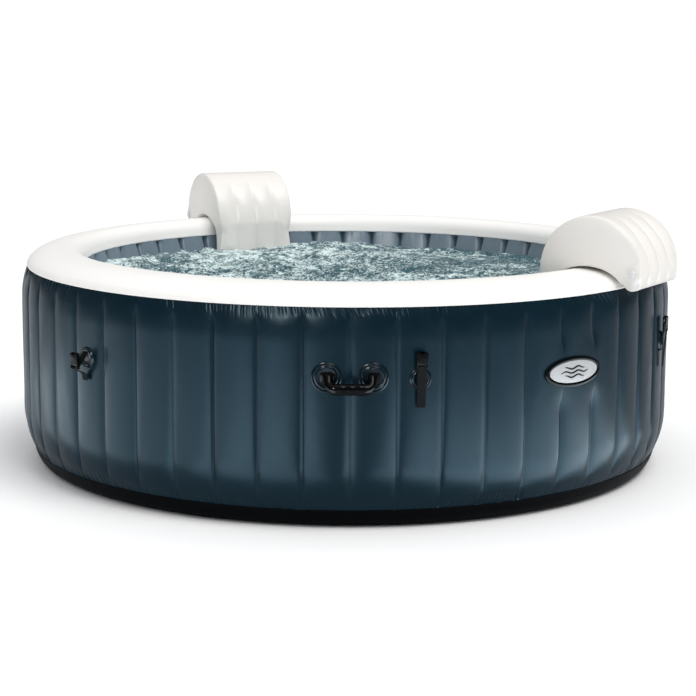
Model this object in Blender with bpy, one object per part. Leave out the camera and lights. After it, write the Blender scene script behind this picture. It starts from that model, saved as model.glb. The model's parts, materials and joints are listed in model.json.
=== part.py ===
"""Round inflatable hot tub: welded skins over radial tension beams, lift-off headrests,
carrying handles, cover straps with buckles, valves and water ports.

Units are metres, +Z is up and the tub stands on z = 0 with its axis on Z.
The front of the tub faces -Y. Angles round the tub are degrees from -Y towards +X.
"""
import math

import bmesh
import bpy
from mathutils import Matrix, Vector

# Driving dimensions
OUTER_DIAMETER = 2.16
HEIGHT = 0.71
PANELS = 50  # vertical panels round the wall, one tension beam at each seam
SEAM_ANGLE = 0.8  # the seam nearest the front
SKIN = 0.0012  # laminated sheet
GAP = 0.0003  # left between touching pieces

# Cross-section of the ring, as (radius, height)
RADIUS = OUTER_DIAMETER / 2
OUTER_SEAM = (1.058, 0.6566)
INNER_SEAM = (0.875, 0.654)
CROWN_RADIUS = 0.9345
LOWER_SEAM = (1.045, 0.055)
STRAIGHT_WALL = (0.19, 0.555)  # heights between which the outer wall is upright
INNER_FOOT = (0.862, SKIN + GAP)
INNER_BULGE = 0.043  # how far the inner wall bows towards the water
CORNER_CONTROL = (1.034, 0.0)
GROUND_RADIUS = 0.985
BEAM_SHEET = 0.0006
BEAM_CLEARANCE = 0.0006
BEAM_FOOT = 0.012  # height of the beams' lower edge
BEAM_TOP_DROP = 0.010  # the beams end this far below the top seams
BEAM_CORNER = 0.0035  # and their corners are this far in from the walls
SPACER_TAPE = (0.93, 0.97)  # radii of the flat tape that spaces the beams

# Bubble ring on the floor
BUBBLE_RADIUS = 0.80
BUBBLE_WIDTH = 0.060
BUBBLE_HEIGHT = 0.022
BUBBLE_STEPS = 25

# Carrying handles
HANDLE_ANGLES = {"front": SEAM_ANGLE, "rear": SEAM_ANGLE + 180.0}
HANDLE_HEIGHT = 0.455
HANDLE_PATCH_RADIUS = 0.045
HANDLE_PIVOT_X = 0.062
HANDLE_PIVOT_OUT = 0.0175
HANDLE_HANG = 0.036
HANDLE_BEND = 0.022
HANDLE_TILT = 40.0  # degrees that the grip stands off the wall at rest
GRIP_RADIUS = 0.017
LEG_RADIUS = 0.0125
LEG_END = 0.011  # how far a leg goes on past its pin
PIN_RADIUS = 0.0025
EAR_OFFSET = 0.0150  # of each ear from the middle of the leg
EAR_THICKNESS = 0.0035
EAR_FOOT = 0.0018  # height of the ears' feet, inside the patch
EAR_HALF = 0.0070
EAR_TOP = 0.0050  # above the pin's axis
PATCH_SHEET = 0.0028
PATCH_BEAD = (0.0060, 0.0065)  # width of the bead's outer slope, and its height

# Cover straps
STRAP_ANGLES = {
    "front": 11.6,
    "right": 69.2,
    "rear_right": 126.8,
    "rear_left": 198.8,
    "left": 256.4,
    "front_left": 314.0,
}
STRAP_HEIGHT = 0.449
STRAP_PATCH_RADIUS = 0.0325
STRAP_PATCH_SHEET = 0.0024
STRAP_PATCH_BEAD = (0.0040, 0.0050)
WEBBING_WIDTH = 0.027
WEBBING = 0.0016
BAR_RADIUS = 0.0020
LOOP_RADIUS = 0.0042
BUCKLE_WIDTH = 0.0350
BUCKLE_DEPTH = 0.0120
BUCKLE_LENGTH = 0.0520
BUCKLE_NECK = 0.0240  # height of the narrower part by the strap
BUCKLE_CHAMFER = 0.0040
BUCKLE_SLOT_TOP = 0.0085
BUCKLE_MOUTH = (0.0265, 0.0280, 0.0074)  # width, length and depth of the pocket
BUCKLE_WINDOW = (0.0130, 0.0050)  # length and depth of the side openings
STANDING_BAR = (0.034, 0.0140)  # buckle bar (up, out) where the strap stands up the wall
PROUD_BAR = (-0.027, 0.0450)  # and where its loop sticks out

# Badge
BADGE_ANGLE = 39.0
BADGE_HEIGHT = 0.433
BADGE_HALF = (0.115, 0.045)
BADGE_FACE_HALF = (0.098, 0.035)
BADGE_SHEET = 0.0035
FACE_SHEET = 0.0012

# Valves and ports, on panels at the rear
AIR_VALVE = (148.4, 0.500)
DRAIN_VALVE = (177.2, 0.230)
VALVE_RADIUS = 0.034
VALVE_SEAT_RADIUS = 0.022
VALVE_CAP_RADIUS = 0.024
VALVE_HINGE = (0.034, 0.0108)  # up, out
PORT_HEIGHT = 0.320
WATER_PORT_ANGLES = {"outlet": 155.6, "inlet": 170.0}
AIR_PORT = (162.8, 0.420)
PORT_FLANGE_RADIUS = 0.045
WATER_PORT_RADIUS = 0.031
AIR_PORT_RADIUS = 0.021
PORT_WALL = 0.005
PORT_LENGTH = 0.040
INNER_COVER_RADIUS = 0.050
INNER_COVER_HEIGHT = 0.022
INNER_COVER_OFF = 0.0030
PIPE_RADIUS = 0.026

# Headrests
HEADREST_ANGLES = {"left": -155.0, "right": 58.5}
HEADREST_HALF_WIDTH = 0.150
HEADREST_ARCH = (0.962, 0.700)  # centre of the outer curve: radius, height
HEADREST_ARCH_HALF = (0.177, 0.183)
HEADREST_SADDLE = (0.951, 0.640)  # centre of the curve over the rim
HEADREST_SADDLE_HALF = (0.121, 0.077)
INNER_LEG_FOOT = (0.808, 0.548)
INNER_LEG_HALF = 0.018
OUTER_LEG_FOOT = (1.1035, 0.667)
OUTER_LEG_HALF = (0.0335, 0.022)
HEADREST_SKIN = 0.0008
HEADREST_EDGE = 0.012
HEADREST_VALVE = (1.1035, 0.705)
STEM_HOLE_RADIUS = 0.0075

FACET = math.pi / PANELS
APOTHEM = RADIUS * math.cos(FACET)
ROUND = 16  # sides on small turned pieces


# Scene and mesh helpers


def clear_scene():
    for thing in list(bpy.data.objects):
        bpy.data.objects.remove(thing, do_unlink=True)


def material(name, colour, roughness, metallic=0.0):
    found = bpy.data.materials.get(name)
    if found:
        return found
    made = bpy.data.materials.new(name)
    made.use_nodes = True
    shader = made.node_tree.nodes["Principled BSDF"]
    shader.inputs["Base Color"].default_value = (*colour, 1.0)
    shader.inputs["Roughness"].default_value = roughness
    shader.inputs["Metallic"].default_value = metallic
    made.diffuse_color = (*colour, 1.0)
    return made


def place(name, shape, frame, paint):
    """Object from a bmesh, placed by a frame, smooth except at real edges."""
    mesh = bpy.data.meshes.new(name)
    bmesh.ops.recalc_face_normals(shape, faces=shape.faces)
    shape.to_mesh(mesh)
    shape.free()
    mesh.shade_smooth()
    mesh.set_sharp_from_angle(angle=math.radians(35))
    mesh.materials.append(paint)
    made = bpy.data.objects.new(name, mesh)
    made.matrix_world = frame
    bpy.context.scene.collection.objects.link(made)
    return made


def helper(name, shape, frame, paint):
    """Shape that only takes part in a Boolean."""
    made = place(name, shape, frame, paint)
    made.hide_render = True
    made.display_type = "WIRE"
    return made


def combine(target, tool, operation, own_overlaps=False):
    step = target.modifiers.new(tool.name, "BOOLEAN")
    step.operation = operation
    step.object = tool
    step.solver = "EXACT"
    step.use_self = own_overlaps


def wall_frame(angle, height, radius=APOTHEM):
    """Frame on the outer wall: x to the right seen from outside, y up, z straight out."""
    turn = Matrix.Rotation(math.radians(angle), 4, "Z")
    return turn @ Matrix.Translation((0, -radius, height)) @ Matrix.Rotation(math.pi / 2, 4, "X")


def inner_frame(angle, height, radius):
    """Frame on the inner wall: y up, z towards the axis of the tub."""
    turn = Matrix.Rotation(math.radians(angle), 4, "Z")
    return turn @ Matrix.Translation((0, -radius, height)) @ Matrix.Rotation(-math.pi / 2, 4, "X")


def turned(section, steps, closed=True):
    """Ring from a closed section of (radius, height), or a solid from an open one
    that starts and ends on the axis."""
    shape = bmesh.new()
    points = [shape.verts.new((r, 0, z)) for r, z in section]
    ends = points[1:] + points[:1] if closed else points[1:]
    edges = [shape.edges.new(pair) for pair in zip(points, ends)]
    bmesh.ops.spin(shape, geom=points + edges, cent=(0, 0, 0), axis=(0, 0, 1),
                   angle=math.tau, steps=steps, use_merge=True)
    bmesh.ops.remove_doubles(shape, verts=shape.verts, dist=1e-6)
    return shape


def extruded(outline, low, high, axis="x"):
    """Prism between two positions along x of a (y, z) outline, or along z of an (x, y) one."""
    shape = bmesh.new()
    if axis == "x":
        points = [shape.verts.new((low, a, b)) for a, b in outline]
        travel = (high - low, 0, 0)
    else:
        points = [shape.verts.new((a, b, low)) for a, b in outline]
        travel = (0, 0, high - low)
    face = shape.faces.new(points)
    grown = bmesh.ops.extrude_face_region(shape, geom=[face])
    moved = [item for item in grown["geom"] if isinstance(item, bmesh.types.BMVert)]
    bmesh.ops.translate(shape, verts=moved, vec=travel)
    return shape


def box(size, centre):
    shape = bmesh.new()
    frame = Matrix.Translation(centre) @ Matrix.Diagonal((*size, 1.0))
    bmesh.ops.create_cube(shape, size=1.0, matrix=frame)
    return shape


def rod(radius, low, high, sides=ROUND):
    """Cylinder along x."""
    ring = [(radius * math.cos(math.tau * i / sides), radius * math.sin(math.tau * i / sides))
            for i in range(sides)]
    return extruded(ring, low, high)


def beaded_patch(radius, thickness, bead):
    """Round patch with a raised bead near its edge."""
    slope, rise = bead
    section = [(0, GAP), (radius, GAP), (radius, 0.8 * thickness), (radius - slope, rise),
               (radius - 1.7 * slope, rise), (radius - 2.4 * slope, thickness), (0, thickness)]
    return turned(section, 24, closed=False)


# Curves of a cross-section


def ellipse_arc(centre, half, start, end, steps, power=2.0):
    """Points round an ellipse (a superellipse where power is above 2), angles in degrees."""
    points = []
    for i in range(steps + 1):
        angle = math.radians(start + (end - start) * i / steps)
        c, s = math.cos(angle), math.sin(angle)
        x = math.copysign(abs(c) ** (2 / power), c)
        y = math.copysign(abs(s) ** (2 / power), s)
        points.append((centre[0] + half[0] * x, centre[1] + half[1] * y))
    return points


def bowed(start, end, bow, steps):
    """Circular arc from start to end, bowed to the left of the way from one to the other."""
    a, b = Vector(start), Vector(end)
    chord = b - a
    left = Vector((-chord.y, chord.x)).normalized()
    radius = (chord.length_squared / 4 + bow * bow) / (2 * bow)
    centre = (a + b) / 2 + left * (bow - radius)
    reach = math.asin(min(1.0, chord.length / 2 / abs(radius)))
    points = []
    for i in range(steps + 1):
        angle = -reach + 2 * reach * i / steps
        points.append(tuple(centre + left * radius * math.cos(angle)
                            + chord.normalized() * abs(radius) * math.sin(angle)))
    return points


def shoulder(upright, end, steps):
    """Arc that leaves the upright wall at a point and reaches the end point."""
    rise, inset = end[1] - upright[1], upright[0] - end[0]
    radius = (rise * rise + inset * inset) / (2 * inset)
    reach = math.asin(rise / radius)
    return [(upright[0] - radius * (1 - math.cos(reach * i / steps)),
             upright[1] + radius * math.sin(reach * i / steps)) for i in range(steps + 1)]


def bezier(start, control, end, steps):
    a, b, c = Vector(start), Vector(control), Vector(end)
    return [tuple(a.lerp(b, i / steps).lerp(b.lerp(c, i / steps), i / steps))
            for i in range(steps + 1)]


def offset(path, distance):
    """Path moved to its left by a distance."""
    points = [Vector(p) for p in path]
    moved = []
    for i, point in enumerate(points):
        before = (point - points[i - 1]).normalized() if i else None
        after = (points[i + 1] - point).normalized() if i < len(points) - 1 else None
        ways = [way for way in (before, after) if way]
        normals = [Vector((-way.y, way.x)) for way in ways]
        mean = sum(normals, Vector((0, 0))).normalized()
        moved.append(tuple(point + mean * (distance / mean.dot(normals[0]))))
    return moved


def trimmed(path, start=GAP / 2, end=GAP / 2):
    """Path shortened a little at each end."""
    points = [Vector(p) for p in path]
    points[0] += (points[1] - points[0]).normalized() * start
    points[-1] += (points[-2] - points[-1]).normalized() * end
    return [tuple(p) for p in points]


def sheet(path, thickness):
    """Closed section of a sheet that lies to the left of a path."""
    return list(path) + offset(path, thickness)[::-1]


# The skins of the ring, each path with the air chamber on its left


def outer_path():
    low = shoulder((RADIUS, -STRAIGHT_WALL[0]), (LOWER_SEAM[0], -LOWER_SEAM[1]), 2)
    high = shoulder((RADIUS, STRAIGHT_WALL[1]), OUTER_SEAM, 2)
    return [(r, -z) for r, z in low[::-1]] + high


def rim_path():
    outer_half = (OUTER_SEAM[0] - CROWN_RADIUS, HEIGHT - OUTER_SEAM[1])
    inner_half = (CROWN_RADIUS - INNER_SEAM[0], HEIGHT - INNER_SEAM[1])
    outer = ellipse_arc((CROWN_RADIUS, OUTER_SEAM[1]), outer_half, 0, 90, 3)
    inner = ellipse_arc((CROWN_RADIUS, INNER_SEAM[1]), inner_half, 90, 180, 2, 2.4)
    return outer + inner[1:]


def inner_path():
    return bowed(INNER_SEAM, INNER_FOOT, -INNER_BULGE, 5)


def base_path():
    ground = [(INNER_FOOT[0], 0.0), (GROUND_RADIUS, 0.0)]
    return ground + bezier((GROUND_RADIUS, 0.0), CORNER_CONTROL, LOWER_SEAM, 3)[1:]


def make_skins():
    ring = Matrix.Rotation(math.radians(SEAM_ANGLE - 90), 4, "Z")
    navy = material("navy_pvc", (0.020, 0.036, 0.056), 0.40)
    white = material("white_pvc", (0.80, 0.79, 0.76), 0.45)
    black = material("black_pvc", (0.012, 0.013, 0.015), 0.50)
    lining = material("lining_pvc", (0.030, 0.055, 0.085), 0.40)
    place("outer_wall", turned(sheet(trimmed(outer_path()), SKIN), PANELS), ring, navy)
    place("top_rim", turned(sheet(trimmed(rim_path()), SKIN), PANELS), ring, white)
    place("inner_wall", turned(sheet(trimmed(inner_path()), SKIN), PANELS), ring, lining)
    place("base_ring", turned(sheet(trimmed(base_path()), SKIN), PANELS), ring, black)
    edge = INNER_FOOT[0] - GAP
    floor = [(0, 0), (edge, 0), (edge, SKIN), (0, SKIN)]
    place("floor_sheet", turned(floor, PANELS, closed=False), ring, black)
    top = [(r - GAP * bool(r), z + SKIN + GAP) for r, z in floor]
    place("floor_liner", turned(top, PANELS, closed=False), ring, lining)


def make_bubble_ring():
    """Arched skin welded along the edge of the floor; air leaves through its crown."""
    low = 2 * (SKIN + GAP)
    half = (BUBBLE_WIDTH / 2, BUBBLE_HEIGHT)
    arch = ellipse_arc((BUBBLE_RADIUS, low), half, 0, 180, 4)
    under = ellipse_arc((BUBBLE_RADIUS, low), (half[0] - SKIN, half[1] - SKIN), 180, 0, 4)
    grey = material("bubble_ring_pvc", (0.10, 0.13, 0.17), 0.45)
    place("bubble_air_ring", turned(arch + under, BUBBLE_STEPS), Matrix(), grey)


def beam_outline():
    """Outline of one tension beam as (radius, height), and where the spacer tape crosses."""
    off = SKIN + BEAM_CLEARANCE
    wall = offset(outer_path(), off)
    inside = offset(inner_path(), off)
    outline = [(r, BEAM_FOOT) for r in (*SPACER_TAPE, GROUND_RADIUS)]
    outline += [wall[0], wall[2], wall[3]]
    outline += [(wall[-1][0] - BEAM_CORNER, wall[-1][1] - BEAM_TOP_DROP)]
    outline += [(inside[0][0] + BEAM_CORNER, inside[0][1] - BEAM_TOP_DROP)]
    outline += [inside[2], inside[3], (inside[-1][0] + BEAM_CORNER, BEAM_FOOT)]
    return outline


def make_beams():
    """Fifty radial sheets joined by a flat tape, so that they are one body."""
    outline = beam_outline()
    notch = [(r, outline[0][1] + BEAM_SHEET) for r in SPACER_TAPE]
    shape = bmesh.new()
    sides = []
    for k in range(PANELS):
        angle = math.radians(SEAM_ANGLE + 360.0 * k / PANELS)
        out = Vector((math.sin(angle), -math.cos(angle), 0))
        along = Vector((math.cos(angle), math.sin(angle), 0)) * (BEAM_SHEET / 2)
        pair = []
        for side in (-1, 1):
            ring = [shape.verts.new(out * r + along * side + Vector((0, 0, z))) for r, z in outline]
            tape = [shape.verts.new(out * r + along * side + Vector((0, 0, z))) for r, z in notch]
            shape.faces.new([ring[0], tape[0], tape[1], *ring[1:]])
            pair.append((ring, tape))
        for i in range(len(outline)):
            j = (i + 1) % len(outline)
            shape.faces.new([pair[0][0][i], pair[0][0][j], pair[1][0][j], pair[1][0][i]])
        sides.append(pair)
    for k in range(PANELS):
        near, far = sides[k][1], sides[(k + 1) % PANELS][0]
        start = [near[0][0], near[0][1], near[1][1], near[1][0]]
        end = [far[0][0], far[0][1], far[1][1], far[1][0]]
        for i in range(4):
            j = (i + 1) % 4
            shape.faces.new([start[i], start[j], end[j], end[i]])
    place("tension_beams", shape, Matrix(), material("beam_pvc", (0.55, 0.56, 0.57), 0.6))


# Carrying handles


def handle_leg():
    """Centre line of half a grip from the free end past the pivot to the middle,
    as (across, down, radius of the tube)."""
    bend = (HANDLE_PIVOT_X - HANDLE_BEND, HANDLE_HANG - HANDLE_BEND)
    tip = [(-1.0, 0.62), (-0.55, 0.93), (0.35, 1.0)]  # the rounded free end
    line = [(HANDLE_PIVOT_X, LEG_END * down, LEG_RADIUS * share) for down, share in tip]
    for i in range(4):
        angle = math.radians(90 * i / 3)
        swell = LEG_RADIUS + (GRIP_RADIUS - LEG_RADIUS) * i / 3
        line.append((bend[0] + HANDLE_BEND * math.cos(angle),
                     bend[1] + HANDLE_BEND * math.sin(angle), swell))
    return line


def make_grip(side_name, frame, paint):
    half = handle_leg()
    line = half + [(-x, s, r) for x, s, r in half[::-1]]
    sides = 10
    shape = bmesh.new()
    rings = []
    for i, (x, s, r) in enumerate(line):
        back, ahead = line[max(i - 1, 0)], line[min(i + 1, len(line) - 1)]
        way = Vector((ahead[0] - back[0], back[1] - ahead[1], 0)).normalized()
        across = Vector((way.y, -way.x, 0))
        ring = []
        for k in range(sides):
            angle = math.tau * k / sides
            spot = across * r * math.cos(angle) + Vector((0, 0, r * math.sin(angle)))
            ring.append(shape.verts.new(Vector((x, -s, 0)) + spot))
        rings.append(ring)
    for ring, following in zip(rings, rings[1:]):
        for k in range(sides):
            j = (k + 1) % sides
            shape.faces.new([ring[k], ring[j], following[j], following[k]])
    shape.faces.new(rings[0])
    shape.faces.new(rings[-1])
    tilted = frame @ Matrix.Rotation(math.radians(-HANDLE_TILT), 4, "X")
    grip = place(f"{side_name}_handle_grip", shape, tilted, paint)
    reach = HANDLE_PIVOT_X + 2 * LEG_RADIUS
    inside = HANDLE_PIVOT_X - 2 * LEG_RADIUS
    for way, label in ((-1, "left"), (1, "right")):
        hole = rod(PIN_RADIUS + GAP, *sorted((way * inside, way * reach)), sides=10)
        cutter = helper(f"{side_name}_{label}_pin_hole", hole, tilted, paint)
        combine(grip, cutter, "DIFFERENCE")


def make_handle_patch(side_name, label, way, angle, frame, paint):
    """Round patch with two ears and the pin that the grip swings on."""
    spot = wall_frame(angle + way * math.degrees(FACET), HANDLE_HEIGHT)
    name = f"{side_name}_handle_patch_{label}"
    patch = place(name, beaded_patch(HANDLE_PATCH_RADIUS, PATCH_SHEET, PATCH_BEAD), spot, paint)
    pivot = way * HANDLE_PIVOT_X
    foot = EAR_FOOT - HANDLE_PIVOT_OUT
    corners = [(EAR_HALF, foot), (0.8 * EAR_HALF, 0.4 * EAR_TOP), (0.35 * EAR_HALF, EAR_TOP)]
    ear = corners + [(-y, z) for y, z in corners[::-1]]
    for side, way_out in (("near", -1), ("far", 1)):
        middle = pivot + way_out * EAR_OFFSET
        shape = extruded(ear, middle - EAR_THICKNESS / 2, middle + EAR_THICKNESS / 2)
        combine(patch, helper(f"{name}_{side}_ear", shape, frame, paint), "UNION")
    span = EAR_OFFSET + EAR_THICKNESS * 0.3  # the pin ends inside both ears
    pin = helper(f"{name}_pin", rod(PIN_RADIUS, pivot - span, pivot + span, 8), frame, paint)
    combine(patch, pin, "UNION")


def make_handles():
    black = material("black_gloss_plastic", (0.010, 0.011, 0.013), 0.22)
    navy = material("navy_patch", (0.022, 0.040, 0.062), 0.35)
    radius = APOTHEM * math.cos(FACET) + HANDLE_PIVOT_OUT
    for side_name, angle in HANDLE_ANGLES.items():
        frame = wall_frame(angle, HANDLE_HEIGHT, radius)
        make_grip(side_name, frame, black)
        for label, way in (("left", -1), ("right", 1)):
            make_handle_patch(side_name, label, way, angle, frame, navy)


# Cover straps


def webbing_route(bar, proud):
    """Side view of the webbing as (up, out): sewn to the patch, round the buckle bar, and
    down as a loose tail."""
    up, out = bar
    if proud:
        sewn = [(0.018, 0.0040), (0.009, 0.0110), (-0.012, 0.0280), (up + 0.0045, out - 0.0070)]
        start, end = 0, 180
        tail = [(-0.044, 0.0180), (-0.052, 0.0100), (-0.068, 0.0075)]
    else:
        sewn = [(-0.012, 0.0040), (0.008, 0.0048)]
        start, end = -90, 90
        tail = [(-0.020, 0.0135), (-0.055, 0.0105), (-0.082, 0.0090)]
    turn = ellipse_arc(bar, (LOOP_RADIUS, LOOP_RADIUS), start, end, 4)
    return sewn + turn + tail


def make_buckle(name, frame, paint):
    """Socket half of a side-release buckle, its origin on the bar that it swings on."""
    half = BUCKLE_WIDTH / 2
    neck = half - 0.0010
    right = [(neck, -BAR_RADIUS), (neck, BUCKLE_NECK), (half, BUCKLE_NECK + 0.006),
             (half, BUCKLE_LENGTH - BUCKLE_CHAMFER), (half - BUCKLE_CHAMFER, BUCKLE_LENGTH)]
    outline = right + [(-x, y) for x, y in right[::-1]]
    buckle = place(name, extruded(outline, -BUCKLE_DEPTH / 2, BUCKLE_DEPTH / 2, "z"), frame, paint)
    inside = WEBBING_WIDTH + 2 * GAP
    deep = BUCKLE_DEPTH + 0.002
    low, top = -2 * BAR_RADIUS, BUCKLE_SLOT_TOP
    mouth_middle = BUCKLE_LENGTH + 0.002 - BUCKLE_MOUTH[1] / 2
    window_length, window_depth = BUCKLE_WINDOW
    cuts = {
        "slot": box((inside, top - BAR_RADIUS, deep), (0, (top + BAR_RADIUS) / 2, 0)),
        "front": box((inside, top - low, deep / 2), (0, (top + low) / 2, BAR_RADIUS + deep / 4)),
        "back": box((inside, top - low, deep / 2), (0, (top + low) / 2, -BAR_RADIUS - deep / 4)),
        "mouth": box(BUCKLE_MOUTH, (0, mouth_middle, 0)),
        "window": box((2 * BUCKLE_WIDTH, window_length, window_depth), (0, mouth_middle - 0.0005, 0)),
    }
    for label, shape in cuts.items():
        combine(buckle, helper(f"{name}_{label}", shape, frame, paint), "DIFFERENCE")


def make_straps():
    navy = material("navy_patch", (0.022, 0.040, 0.062), 0.35)
    cloth = material("black_webbing", (0.012, 0.013, 0.015), 0.85)
    black = material("black_plastic", (0.014, 0.015, 0.017), 0.30)
    for side_name, angle in STRAP_ANGLES.items():
        proud = side_name == "front_left"
        bar = PROUD_BAR if proud else STANDING_BAR
        frame = wall_frame(angle, STRAP_HEIGHT)
        patch = beaded_patch(STRAP_PATCH_RADIUS, STRAP_PATCH_SHEET, STRAP_PATCH_BEAD)
        place(f"strap_patch_{side_name}", patch, frame, navy)
        route = webbing_route(bar, proud)
        band = sheet(offset(route, -WEBBING / 2), WEBBING)
        webbing = extruded(band, -WEBBING_WIDTH / 2, WEBBING_WIDTH / 2)
        place(f"strap_webbing_{side_name}", webbing, frame, cloth)
        hinge = frame @ Matrix.Translation((0, *bar))
        make_buckle(f"strap_buckle_{side_name}", hinge, black)


# Badge


def curved_oval(half, low, high, columns=10):
    """Oval plate wrapped round the wall between two radii, centred on -Y at z = 0."""
    shape = bmesh.new()
    rows = []
    for i in range(columns + 1):
        turn = math.pi * (i + 0.5) / (columns + 1)
        across, rise = -half[0] * math.cos(turn), half[1] * math.sin(turn)
        angle = across / low
        rows.append([shape.verts.new((r * math.sin(angle), -r * math.cos(angle), z))
                     for r, z in ((low, -rise), (high, -rise), (high, rise), (low, rise))])
    for row, following in zip(rows, rows[1:]):
        for k in range(4):
            j = (k + 1) % 4
            shape.faces.new([row[k], row[j], following[j], following[k]])
    shape.faces.new(rows[0])
    shape.faces.new(rows[-1])
    return shape


def make_badge():
    turn = Matrix.Rotation(math.radians(BADGE_ANGLE), 4, "Z")
    frame = turn @ Matrix.Translation((0, 0, BADGE_HEIGHT))
    back = RADIUS + GAP
    front = back + BADGE_SHEET
    plate = curved_oval(BADGE_HALF, back, front)
    place("badge_plate", plate, frame, material("black_plastic", (0.014, 0.015, 0.017), 0.30))
    face = curved_oval(BADGE_FACE_HALF, front + GAP, front + GAP + FACE_SHEET)
    place("badge_face", face, frame, material("badge_silver", (0.62, 0.63, 0.64), 0.30))


# Valves, ports and what they lead to


def make_capped_valve(name, spot, grey, cap_paint):
    frame = wall_frame(*spot)
    r, seat = VALVE_RADIUS, VALVE_SEAT_RADIUS
    section = [(0, GAP), (r, GAP), (r, 0.0030), (seat + 0.002, 0.0045), (seat, 0.0100), (0, 0.0100)]
    place(f"{name}_base", turned(section, ROUND, closed=False), frame, grey)
    up, out = VALVE_HINGE
    tab = 0.007
    start = math.asin(tab / VALVE_CAP_RADIUS)
    steps = 14
    outline = [(tab, 0.0), (-tab, 0.0)]
    for i in range(steps + 1):
        angle = math.pi / 2 + start + (math.tau - 2 * start) * i / steps
        outline.append((VALVE_CAP_RADIUS * math.cos(angle), VALVE_CAP_RADIUS * math.sin(angle) - up))
    cap = extruded(outline, 0.0, 0.006, "z")
    place(f"{name}_cap", cap, frame @ Matrix.Translation((0, up, out)), cap_paint)


def make_port(name, spot, radius, paint):
    frame = wall_frame(*spot)
    bore = radius - PORT_WALL
    flange = radius + PORT_FLANGE_RADIUS - WATER_PORT_RADIUS
    section = [(bore, GAP), (flange, GAP), (flange, 0.004), (radius, 0.006),
               (radius, PORT_LENGTH), (bore, PORT_LENGTH)]
    place(name, turned(section, ROUND), frame, paint)


def inner_radius(height):
    """Radius of the inner wall at a height, halfway along a panel."""
    path = inner_path()
    for (r0, z0), (r1, z1) in zip(path, path[1:]):
        if z1 <= height <= z0:
            return (r0 + (r1 - r0) * (height - z0) / (z1 - z0)) * math.cos(FACET)
    return INNER_SEAM[0]


def make_ports():
    grey = material("grey_plastic", (0.16, 0.17, 0.18), 0.40)
    black = material("black_plastic", (0.014, 0.015, 0.017), 0.30)
    make_capped_valve("air_valve", AIR_VALVE, grey, black)
    make_capped_valve("drain_valve", DRAIN_VALVE, grey, black)
    make_port("air_port", AIR_PORT, AIR_PORT_RADIUS, grey)
    wall = inner_radius(PORT_HEIGHT)
    r, h = INNER_COVER_RADIUS, INNER_COVER_HEIGHT
    dome = [(0, 0), (r, 0), (r, 0.006), (r * 0.86, h * 0.75), (r * 0.5, h), (0, h)]
    for label, angle in WATER_PORT_ANGLES.items():
        make_port(f"water_{label}_port", (angle, PORT_HEIGHT), WATER_PORT_RADIUS, grey)
        frame = inner_frame(angle, PORT_HEIGHT, wall - INNER_COVER_OFF)
        place(f"water_{label}_cover", turned(dome, ROUND, closed=False), frame, grey)
        start = -(APOTHEM - wall - 0.004)
        pipe = [(PIPE_RADIUS - 0.003, -0.004), (PIPE_RADIUS, -0.004),
                (PIPE_RADIUS, start), (PIPE_RADIUS - 0.003, start)]
        place(f"water_{label}_pipe", turned(pipe, 12), wall_frame(angle, PORT_HEIGHT), grey)


# Headrests


def headrest_outline():
    """Saddle section as (height, radius), so that it extrudes along x of a wall frame."""
    arch = ellipse_arc(HEADREST_ARCH, HEADREST_ARCH_HALF, 0, 180, 12)
    inner_foot = ellipse_arc(INNER_LEG_FOOT, (INNER_LEG_HALF, INNER_LEG_HALF), 190, 355, 3)
    saddle = ellipse_arc(HEADREST_SADDLE, HEADREST_SADDLE_HALF, 175, 25, 9)
    outer_foot = ellipse_arc(OUTER_LEG_FOOT, OUTER_LEG_HALF, 180, 345, 4)
    return [(z, r) for r, z in arch + inner_foot + saddle + outer_foot]


def make_headrest(side_name, angle, valve_side):
    cream = material("headrest_vinyl", (0.82, 0.81, 0.78), 0.38)
    clear = material("clear_valve_vinyl", (0.55, 0.57, 0.58), 0.30)
    frame = wall_frame(angle, 0.0, 0.0)
    half = HEADREST_HALF_WIDTH
    pad = place(f"headrest_{side_name}_pad", extruded(headrest_outline(), -half, half), frame, cream)
    edge = pad.modifiers.new("rounded_ends", "BEVEL")
    edge.width = HEADREST_EDGE
    edge.segments = 2
    edge.limit_method = "ANGLE"
    edge.angle_limit = math.radians(60)
    skin = pad.modifiers.new("skin", "SOLIDIFY")
    skin.thickness = HEADREST_SKIN
    skin.offset = -1.0
    radius, height = HEADREST_VALVE
    spot = frame @ Matrix.Translation((valve_side * half, height, radius))
    outward = spot @ Matrix.Rotation(valve_side * math.pi / 2, 4, "Y")
    hole = turned([(0, -0.006), (STEM_HOLE_RADIUS, -0.006), (STEM_HOLE_RADIUS, 0.004), (0, 0.004)],
                  12, closed=False)
    combine(pad, helper(f"headrest_{side_name}_hole", hole, outward, cream), "DIFFERENCE")
    neck = STEM_HOLE_RADIUS - 2 * GAP
    stem = [(0, -0.005), (neck, -0.005), (neck, GAP), (0.0115, GAP), (0.0115, 0.0020), (0, 0.0020)]
    stem_name = f"headrest_{side_name}_valve"
    place(stem_name, turned(stem, 12, closed=False), outward, clear)
    hinge = 0.0125
    cap = turned([(0, 0), (0.0100, 0), (0.0100, 0.0022), (0, 0.0022)], 12, closed=False)
    bmesh.ops.translate(cap, verts=cap.verts, vec=(0, -hinge, 0))
    lid = outward @ Matrix.Translation((0, hinge, 0.0020 + GAP))
    place(f"headrest_{side_name}_valve_cap", cap, lid, clear)


def main():
    clear_scene()
    make_skins()
    make_bubble_ring()
    make_beams()
    make_handles()
    make_straps()
    make_badge()
    make_ports()
    make_headrest("left", HEADREST_ANGLES["left"], 1)
    make_headrest("right", HEADREST_ANGLES["right"], -1)


main()
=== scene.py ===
"""Looks of a round inflatable hot tub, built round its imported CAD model.

Units are metres, +Z is up, the front of the tub faces -Y, and angles round it are degrees
from -Y towards +X. A wall frame has x to the right seen from outside, y up and z straight out.
"""

import json
import math

import bmesh
import bpy
import numpy as np
from mathutils import Matrix, Vector


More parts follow.
